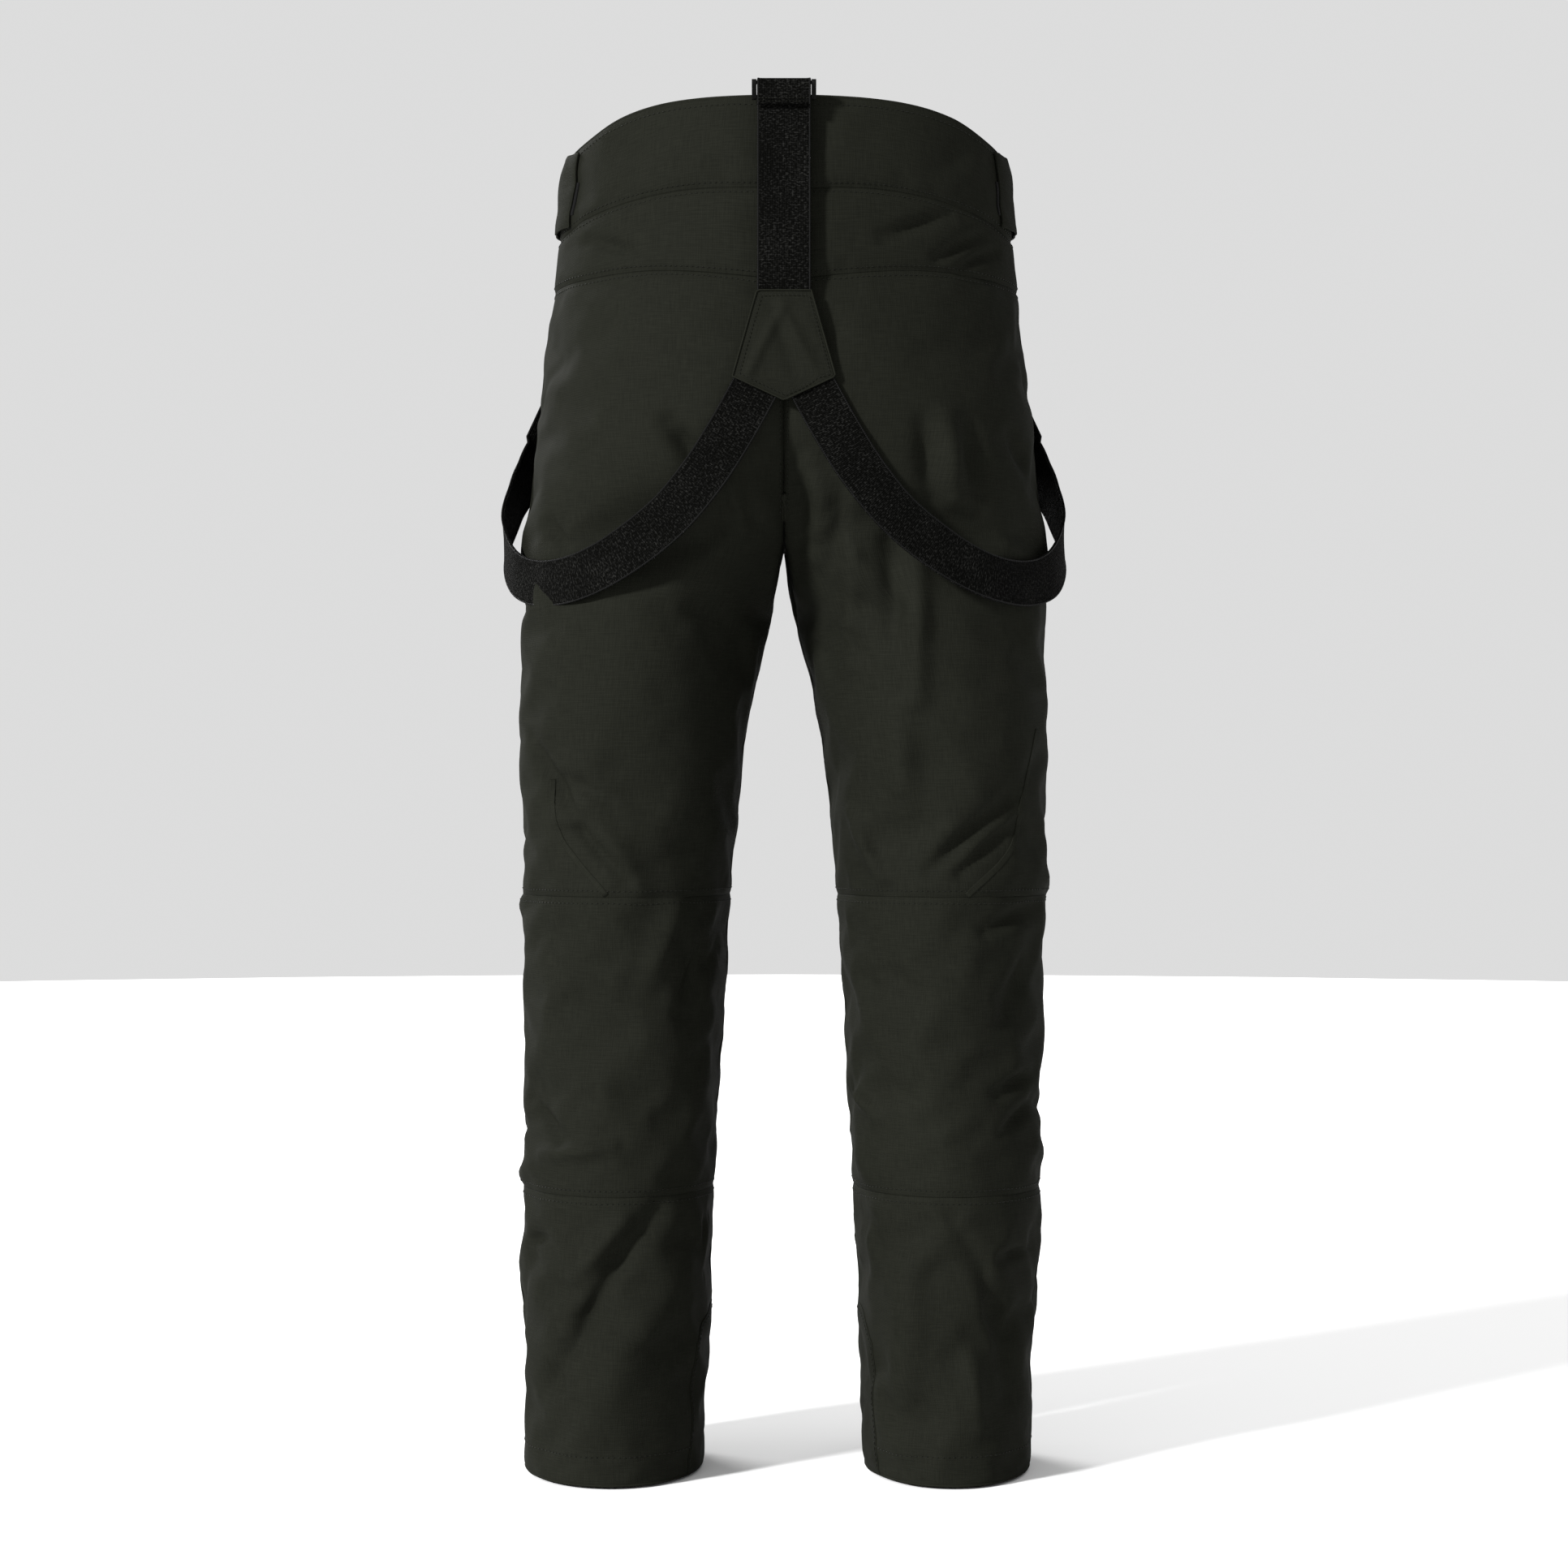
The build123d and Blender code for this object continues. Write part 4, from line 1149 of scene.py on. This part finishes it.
def make_zips():
    """Tapes, teeth, welts and welt stitching of the fly and the pocket zips."""
    for kind, sign, name, node in ZIPS:
        (origin, across, up, out), length = zip_frame(kind, sign)

        def run_at(offset, lift, places, spacing=4):
            points = [origin - up * y + across * offset + out * lift for y in places]
            return stations_along(evenly(points, spacing), across)

        bm = bmesh.new()
        for reach in (-1, 1):
            places = (0.4, length / 3, length * 2 / 3, length - 0.4)
            sweep_into(bm, run_at(reach * 3.6, 0, places), strap_profile(5.8, 0.7, 4))
        new_piece(f"{name}_tape", bm, zip_tape, ROOT, [node])
        bm = bmesh.new()
        size = Matrix.Diagonal((1.65 * MM, 0.62 * MM, 0.85 * MM, 1))
        turn = Matrix((across, up, out)).transposed().to_4x4()
        for tooth in range(int((length - 6) / TOOTH_PITCH)):
            for reach in (-1, 1):
                y = 3 + TOOTH_PITCH * (tooth + 0.5 * (reach > 0))
                centre = origin - up * y + across * reach * 0.9 + out * 0.7
                bmesh.ops.create_icosphere(bm, subdivisions=1, radius=1,
                                           matrix=Matrix.Translation(centre * MM) @ turn @ size)
        new_piece(f"{name}_teeth", bm, zip_coil, ROOT)
        bm = bmesh.new()
        for reach in (-1, 1):
            places = (-2, length / 3, length * 2 / 3, length + 2)
            sweep_into(bm, run_at(reach * 7.9, 0.3, places), strap_profile(5.4, 1.3, 4))
        for y in (-2.5, length + 2.5):
            places = [origin - up * y + across * reach + out * 0.4 for reach in (-10, 0, 10)]
            sweep_into(bm, stations_along(evenly(places, 4), up), strap_profile(4.5, 1.3, 4))
        new_piece(f"{name}_welt", bm, shell_cloth, ROOT)
        bm = bmesh.new()
        for reach in (-1, 1):
            add_stitches(bm, run_at(reach * 9.2, 0.95, (0, length / 2, length), 3), 3.6, 2.6, 0.36)
        new_piece(f"{name}_stitching", bm, thread, ROOT)


def finish_hardware():
    """Hard CAD parts keep their shape: soft edges and real finishes."""
    metal = ["fly_slider", "pocket_slider_left", "pocket_slider_right"]
    rubber = ["fly_puller", "pocket_puller_left", "pocket_puller_right"]
    plastic = ["brace_back_buckle"]
    for side, _ in SIDES:
        plastic += [f"brace_ring_{side}", f"brace_adjuster_{side}"]
    for names, material, edge in ((metal, zip_metal, 0.25), (rubber, puller_rubber, 0.5),
                                  (plastic, buckle_plastic, 0.6), (["closure_studs"], snap_metal, 0.3)):
        for name in names:
            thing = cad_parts[name]
            thing.data.materials.clear()
            thing.data.materials.append(material)
            weld = thing.modifiers.new("weld", "WELD")
            weld.merge_threshold = 0.00001
            bevel = thing.modifiers.new("edge", "BEVEL")
            bevel.width = edge * MM
            bevel.segments = 2
            bevel.limit_method = "ANGLE"
            bevel.angle_limit = math.radians(40)
            bevel.harden_normals = False


# ------------------------------------------------------------------ closure and side tabs
def flat_plate(corners, frame_axes, origin, thick, edge):
    """Cut-out plate from its corner points, corners rounded and faces softened, in mm."""
    across, up, out = frame_axes
    bm = bmesh.new()
    verts = [bm.verts.new((origin + across * a + up * b) * MM) for a, b, _ in corners]
    face = bmesh.ops.contextual_create(bm, geom=verts)["faces"][0]
    for vertex, (_, _, radius) in zip(verts, corners):
        if radius:
            bmesh.ops.bevel(bm, geom=[vertex], offset=radius * MM, offset_type="OFFSET", segments=8,
                            profile=0.5, affect="VERTICES", material=-1, clamp_overlap=True)
    bm.faces.ensure_lookup_table()
    face = bm.faces[0]
    face.normal_update()
    if face.normal.dot(out) < 0:
        bmesh.ops.reverse_faces(bm, faces=[face])
    uv_layer = bm.loops.layers.uv.verify()
    made = bmesh.ops.extrude_face_region(bm, geom=list(bm.faces))
    top = [item for item in made["geom"] if isinstance(item, bmesh.types.BMVert)]
    bmesh.ops.translate(bm, verts=top, vec=out * thick * MM)
    bmesh.ops.recalc_face_normals(bm, faces=bm.faces)
    soften_edges(bm, edge, 3)
    for face in bm.faces:
        for loop in face.loops:
            offset = loop.vert.co / MM - origin
            loop[uv_layer].uv = (offset.dot(across) * MM, offset.dot(up) * MM)
    return bm


CLOSURE_AXES = (Vector((1, 0, 0)), Vector((0, 0, 1)), Vector((0, -1, 0)))


def make_closure():
    """Waist tab with its stitching and snap caps."""
    corners = ((-34, -14, 9), (30, -14, 0), (30, 14, 0), (-34, 14, 9))
    origin = Vector((0, -122.7, 1002))
    plate = flat_plate(corners, CLOSURE_AXES, origin, 1.6, 0.5)
    new_piece("closure_tab_cloth", plate, shell_cloth, "closure_tab", ["closure_tab"])
    bm = bmesh.new()
    edge = [(26, -11), (-24, -11), (-29.5, -7.5), (-31, 0), (-29.5, 7.5), (-24, 11), (26, 11), (26, -11)]
    places = evenly([origin + Vector((a, -1.75, b)) for a, b in edge], 2)
    add_stitches(bm, stations_along(places, Vector((0.01, 0, 1))), 3.4, 2.5, 0.34)
    box = [(28, -12), (22, 12), (28, 12), (22, -12), (28, -12)]
    places = evenly([origin + Vector((a, -1.75, b)) for a, b in box], 2)
    add_stitches(bm, stations_along(places, Vector((1, 0, 0.01))), 3.0, 2.2, 0.34)
    new_piece("closure_tab_stitching", bm, thread, "closure_tab")
    bm = bmesh.new()
    cap = ((0.0, 1.5), (2.4, 1.5), (3.0, 1.15), (4.2, 1.1), (5.2, 1.3), (6.0, 1.0), (6.4, 0.4),
           (6.3, 0.0), (0.0, 0.0))
    for x in (-8, -24):
        centre = Vector((x, -124.3, 1002)) * MM
        verts = [bm.verts.new(centre + Vector((radius, -rise, 0)) * MM) for radius, rise in cap]
        edges = [bm.edges.new(pair) for pair in zip(verts, verts[1:])]
        bmesh.ops.spin(bm, geom=verts + edges, cent=centre, axis=(0, 1, 0), angle=math.tau, steps=32,
                       use_merge=True)
    bmesh.ops.remove_doubles(bm, verts=bm.verts, dist=0.01 * MM)
    bmesh.ops.recalc_face_normals(bm, faces=bm.faces)
    new_piece("closure_snap_caps", bm, snap_metal, "closure_tab", ["closure_snaps"])


def side_place(sign, y, z):
    """Place on the side of the waistband at a depth and height."""
    depth = smooth_between(TRUNK_SIZES, z, 5 if y > 0 else 4)
    turn = math.degrees(math.asin(y / depth))
    return trunk_point(sign, z, (turn / trunk_reach(sign, z) + 1) / 2)


def make_side_tabs():
    """Side flaps standing a little off the waistband, over their loop patches."""
    def swell(column):
        return 2.2 + 2.4 * max(0, math.sin(math.pi * column)) ** 0.8

    for side, sign in SIDES:
        surface_patch(f"bending_side_flap_{side}", 18, 26,
                      lambda row, column: side_place(sign, -44 + 90 * column, 982 + 58 * row), swell, 1.4,
                      shell_cloth, f"side_tab_{side}", [f"side_tab_{side}"], 0.003)
        surface_patch(f"loop_patch_{side}", 14, 12,
                      lambda row, column: side_place(sign, 22 + 27 * column, 991 + 26 * row),
                      lambda _: 0.9, 1.0, hook_loop, ROOT, [f"side_loop_patch_{side}"])


# ------------------------------------------------------------------ braces
STRAP_WIDTH, BACK_WIDTH = 36, 41
STRAP = strap_profile(STRAP_WIDTH, 1.5, 12, 0.25)
BACK_STRAP = strap_profile(BACK_WIDTH, 1.5, 14, 0.25)
SIDE_STRAP_POINTS = (
    (20.5, 151.1, 846), (40, 151.1, 811), (62, 149.1, 777), (90, 142.1, 745), (128, 129.1, 717),
    (162, 107.1, 702), (192, 74, 700), (213, 44, 711), (223, 8, 737), (217, -24, 770), (208, -44, 793),
    (198, -58, 815),
)
STRAP_ALONG = Vector((-0.391655, -0.212613, 0.895211))
STRAP_SIDE = Vector((0.786759, 0.427098, 0.445643))
FRONT_HIGH = Vector((128, -96, 975))


def add_selvedges(bm, stations, width):
    """Fine edge yarns along both sides of a strap, on both faces."""
    for reach in (-1, 1):
        edge = [(centre + side * reach * (width / 2 - 0.9), side, out) for centre, side, out in stations]
        sweep_into(bm, edge, strap_profile(0.9, 2.1, 2))


def upright(points):
    """Curve through (y, z) points on the centre line."""
    return curve_through([Vector((0, y, z)) for y, z in points], 4)


def half_turn(bar):
    """Places of cloth wrapped over a bar of the buckle, front to back."""
    return [bar + Vector((0, -2.5 * math.cos(t), 2.5 * math.sin(t)))
            for t in (0, 0.45, 0.9, 1.35, 1.8, 2.25, 2.7, 3.1416)]


def make_back_strap():
    """Back elastic from the Y patch over the buckle's upper bar, with its sewn end outside."""
    bar = Vector((0, 138.04, 1077))
    places = upright(((151.1, 901), (151.0, 925), (146.6, 962), (141.4, 1002), (137.6, 1036),
                      (135.6, 1063)))
    places += half_turn(bar)
    places += [Vector((0, 140.5, 1072)), Vector((0, 140.3, 1066)), Vector((0, 140.0, 1060))]
    stations = stations_along(places, Vector((1, 0, 0)))
    new_piece("back_elastic", sweep(stations, BACK_STRAP), brace_elastic, ROOT, ["brace_back_strap"])
    bm = bmesh.new()
    add_selvedges(bm, stations, BACK_WIDTH)
    new_piece("back_elastic_selvedge", bm, selvedge, ROOT)
    bm = bmesh.new()
    for z in (1062.2, 1064.6):
        row = evenly([Vector((-19, 141.35, z)), Vector((19, 141.35, z))], 2)
        add_stitches(bm, stations_along(row, Vector((0, 0, 1))), 2.6, 2.0, 0.34)
    new_piece("back_elastic_stitching", bm, thread, ROOT)
    tab_bar = Vector((0, 130.54, 1067.5))
    places = upright(((132.8, 997), (130.6, 1018), (128.4, 1044), (128.04, 1056)))
    places += half_turn(tab_bar)
    places += [Vector((0, 133.0, 1061)), Vector((0, 132.9, 1055)), Vector((0, 132.6, 1050.5))]
    tab = sweep(stations_along(places, Vector((1, 0, 0))), strap_profile(BACK_WIDTH, 1.5, 14))
    new_piece("back_tab_cloth", tab, webbing, ROOT, ["brace_back_tab"])


def patch_half_width(z):
    """Half width of the Y patch at a height."""
    if z < 852:
        return 39 * (z - 834) / 18
    return 39 - 18.5 * (z - 852) / 65


def make_y_patch():
    """Pointed patch that joins the back elastic to the side elastics."""
    bm = bmesh.new()
    rows, columns = 44, 40
    heights = [834 + 83 * r / rows for r in range(rows + 1)]

    def place(column, row):
        z = heights[row]
        share = 2 * column / columns - 1
        x = share * patch_half_width(z)
        puff = 0.9 * (1 - share ** 4) * math.sin(math.pi * row / rows)
        crease = 2.4 * math.exp(-((x - 14 + (z - 880) * 0.5) / 5) ** 2)
        crease -= 1.5 * math.exp(-((x + 2 - (z - 872) * 0.35) / 6) ** 2)
        crease += 2.0 * math.exp(-((x + 18 - (z - 866) * 0.5) / 5) ** 2)
        return Vector((x, 153.0 + puff + crease * math.sin(math.pi * row / rows), z))

    make_grid(bm, columns, rows, place, lambda column, row: (column * 0.0019, row * 0.0019))
    bmesh.ops.remove_doubles(bm, verts=bm.verts, dist=0.01 * MM)
    bmesh.ops.recalc_face_normals(bm, faces=bm.faces)
    first = next(iter(bm.faces))
    if first.normal.y < 0:
        bmesh.ops.reverse_faces(bm, faces=bm.faces)
    new_piece("y_patch_cloth", thickened(bm, 1.3), shell_cloth, ROOT, ["brace_y_patch"])
    outline = [(-20.5, 917), (20.5, 917), (39, 852), (0, 834), (-39, 852), (-20.5, 917)]
    # Rim of the patch in the lighter fold cloth: a painted highlight along its edge.
    bm = bmesh.new()
    rim = evenly([Vector((x, 153.1, z)) for x, z in outline], 3)
    sweep_into(bm, stations_along(rim[:-1], Vector((0, 1, 0)), True), round_profile(1.1, 0.7, 8), True)
    new_piece("y_patch_edge", bm, fold_edge_painted_highlight, ROOT)
    bm = bmesh.new()
    inside = [(x * 0.88, 877 + (z - 877) * 0.91) for x, z in outline]
    rows_of = evenly([Vector((x, 154.6, z)) for x, z in inside], 2)
    add_stitches(bm, stations_along(rows_of, Vector((0, 1, 0))), 3.2, 2.4, 0.34)
    new_piece("y_patch_stitching", bm, thread, ROOT)


def make_side_straps():
    """Side elastics round the hips to the front, and the webbing that anchors them."""
    for side, sign in SIDES:
        run = curve_through(SIDE_STRAP_POINTS, 5)
        low = Vector(SIDE_STRAP_POINTS[-1])
        span = (FRONT_HIGH - low).length
        run += [low + STRAP_ALONG * step for step in range(5, int(span) + 3, 5)]
        run = [mirrored(p, sign) for p in run]
        stations = stations_along(run)
        wavy = []
        for i, (centre, across, out) in enumerate(stations):
            if out.dot(Vector((centre.x, centre.y * 1.6, 0))) < 0:
                across, out = -across, -out
            share = i / len(stations)
            lean = 0.0875 * math.sin(math.pi * share * 1.6) if share < 0.62 else 0
            wavy.append((centre, across * math.cos(lean) + out * math.sin(lean),
                         out * math.cos(lean) - across * math.sin(lean)))
        new_piece(f"side_elastic_{side}", sweep(wavy, STRAP), brace_elastic, ROOT,
                  [f"brace_strap_{side}"])
        bm = bmesh.new()
        add_selvedges(bm, wavy, STRAP_WIDTH)
        new_piece(f"side_elastic_selvedge_{side}", bm, selvedge, ROOT)
        start = mirrored(FRONT_HIGH + STRAP_ALONG * 6, sign)
        along = mirrored(STRAP_ALONG, sign)
        end = mirrored(Vector((116, -93.5, 1004)), sign)
        spot, normal, _, _ = skin.find_nearest(end * MM)
        end = spot / MM + normal * 2.0
        run = [start, start + along * 6.4, start.lerp(end, 0.72) + normal * 0.8, end]
        stations = stations_along(curve_through(run, 3), mirrored(STRAP_SIDE, sign))
        new_piece(f"anchor_webbing_{side}", sweep(stations, strap_profile(24, 1.5, 8)), webbing, ROOT,
                  [f"brace_anchor_{side}"])


def make_hang_loop():
    """Loop inside the back waistband."""
    run = [Vector((-26, 119.4, 1051)), Vector((-18, 113.5, 1049)), Vector((0, 112.2, 1046)),
           Vector((18, 113.5, 1049)), Vector((26, 119.4, 1051))]
    tape = sweep(stations_along(curve_through(run, 3)), strap_profile(8, 1.1, 4))
    new_piece("hang_loop_tape", tape, webbing, ROOT, ["hang_loop"])


make_linings()
make_gaiters()
make_scuff_guards()
make_zips()
finish_hardware()
make_closure()
make_side_tabs()
make_back_strap()
make_y_patch()
make_side_straps()
make_hang_loop()

bpy.data.objects.remove(shell)


# ------------------------------------------------------------------ stage, light and camera
def make_stage():
    """Plain pale floor."""
    bm = bmesh.new()
    bmesh.ops.create_circle(bm, cap_ends=True, radius=7, segments=64)
    bmesh.ops.translate(bm, verts=bm.verts, vec=(0, 0, -0.002))
    floor_mesh = bpy.data.meshes.new("floor")
    bm.to_mesh(floor_mesh)
    bm.free()
    floor = bpy.data.objects.new("floor", floor_mesh)
    bpy.context.collection.objects.link(floor)
    material, _, _, bsdf = shader("pale_floor", 0.9, 0.0)
    bsdf.inputs["Base Color"].default_value = (0.85, 0.85, 0.85, 1)
    floor_mesh.materials.append(material)


def add_sun(name, direction, angle, power):
    """Wide soft light from one direction."""
    data = bpy.data.lights.new(name, "SUN")
    data.angle = math.radians(angle)
    data.energy = power
    light = bpy.data.objects.new(name, data)
    bpy.context.collection.objects.link(light)
    light.rotation_euler = Vector(direction).to_track_quat("Z", "Y").to_euler()


def light_scene():
    """Even white surroundings, a key light from the wearer's left back and a soft one in front."""
    world = bpy.data.worlds.new("studio")
    bpy.context.scene.world = world
    world.use_nodes = True
    background = world.node_tree.nodes["Background"]
    background.inputs["Color"].default_value = (1, 1, 1, 1)
    background.inputs["Strength"].default_value = 0.72
    add_sun("key", (0.95, 0.85, 0.6), 7, 6.6)
    add_sun("front_soft", (0.8, -1.0, 0.7), 25, 2.5)
    bpy.context.scene.view_settings.view_transform = "Standard"


def add_camera():
    """Camera straight behind the garment, at half its height."""
    data = bpy.data.cameras.new("camera")
    data.sensor_width = 36
    data.lens = 18 / math.tan(math.radians(13))
    camera = bpy.data.objects.new("camera", data)
    bpy.context.collection.objects.link(camera)
    camera.location = (0, 2.72, 0.5435)
    camera.rotation_euler = (math.radians(90), 0, math.radians(180))
    bpy.context.scene.camera = camera


make_stage()
light_scene()
add_camera()
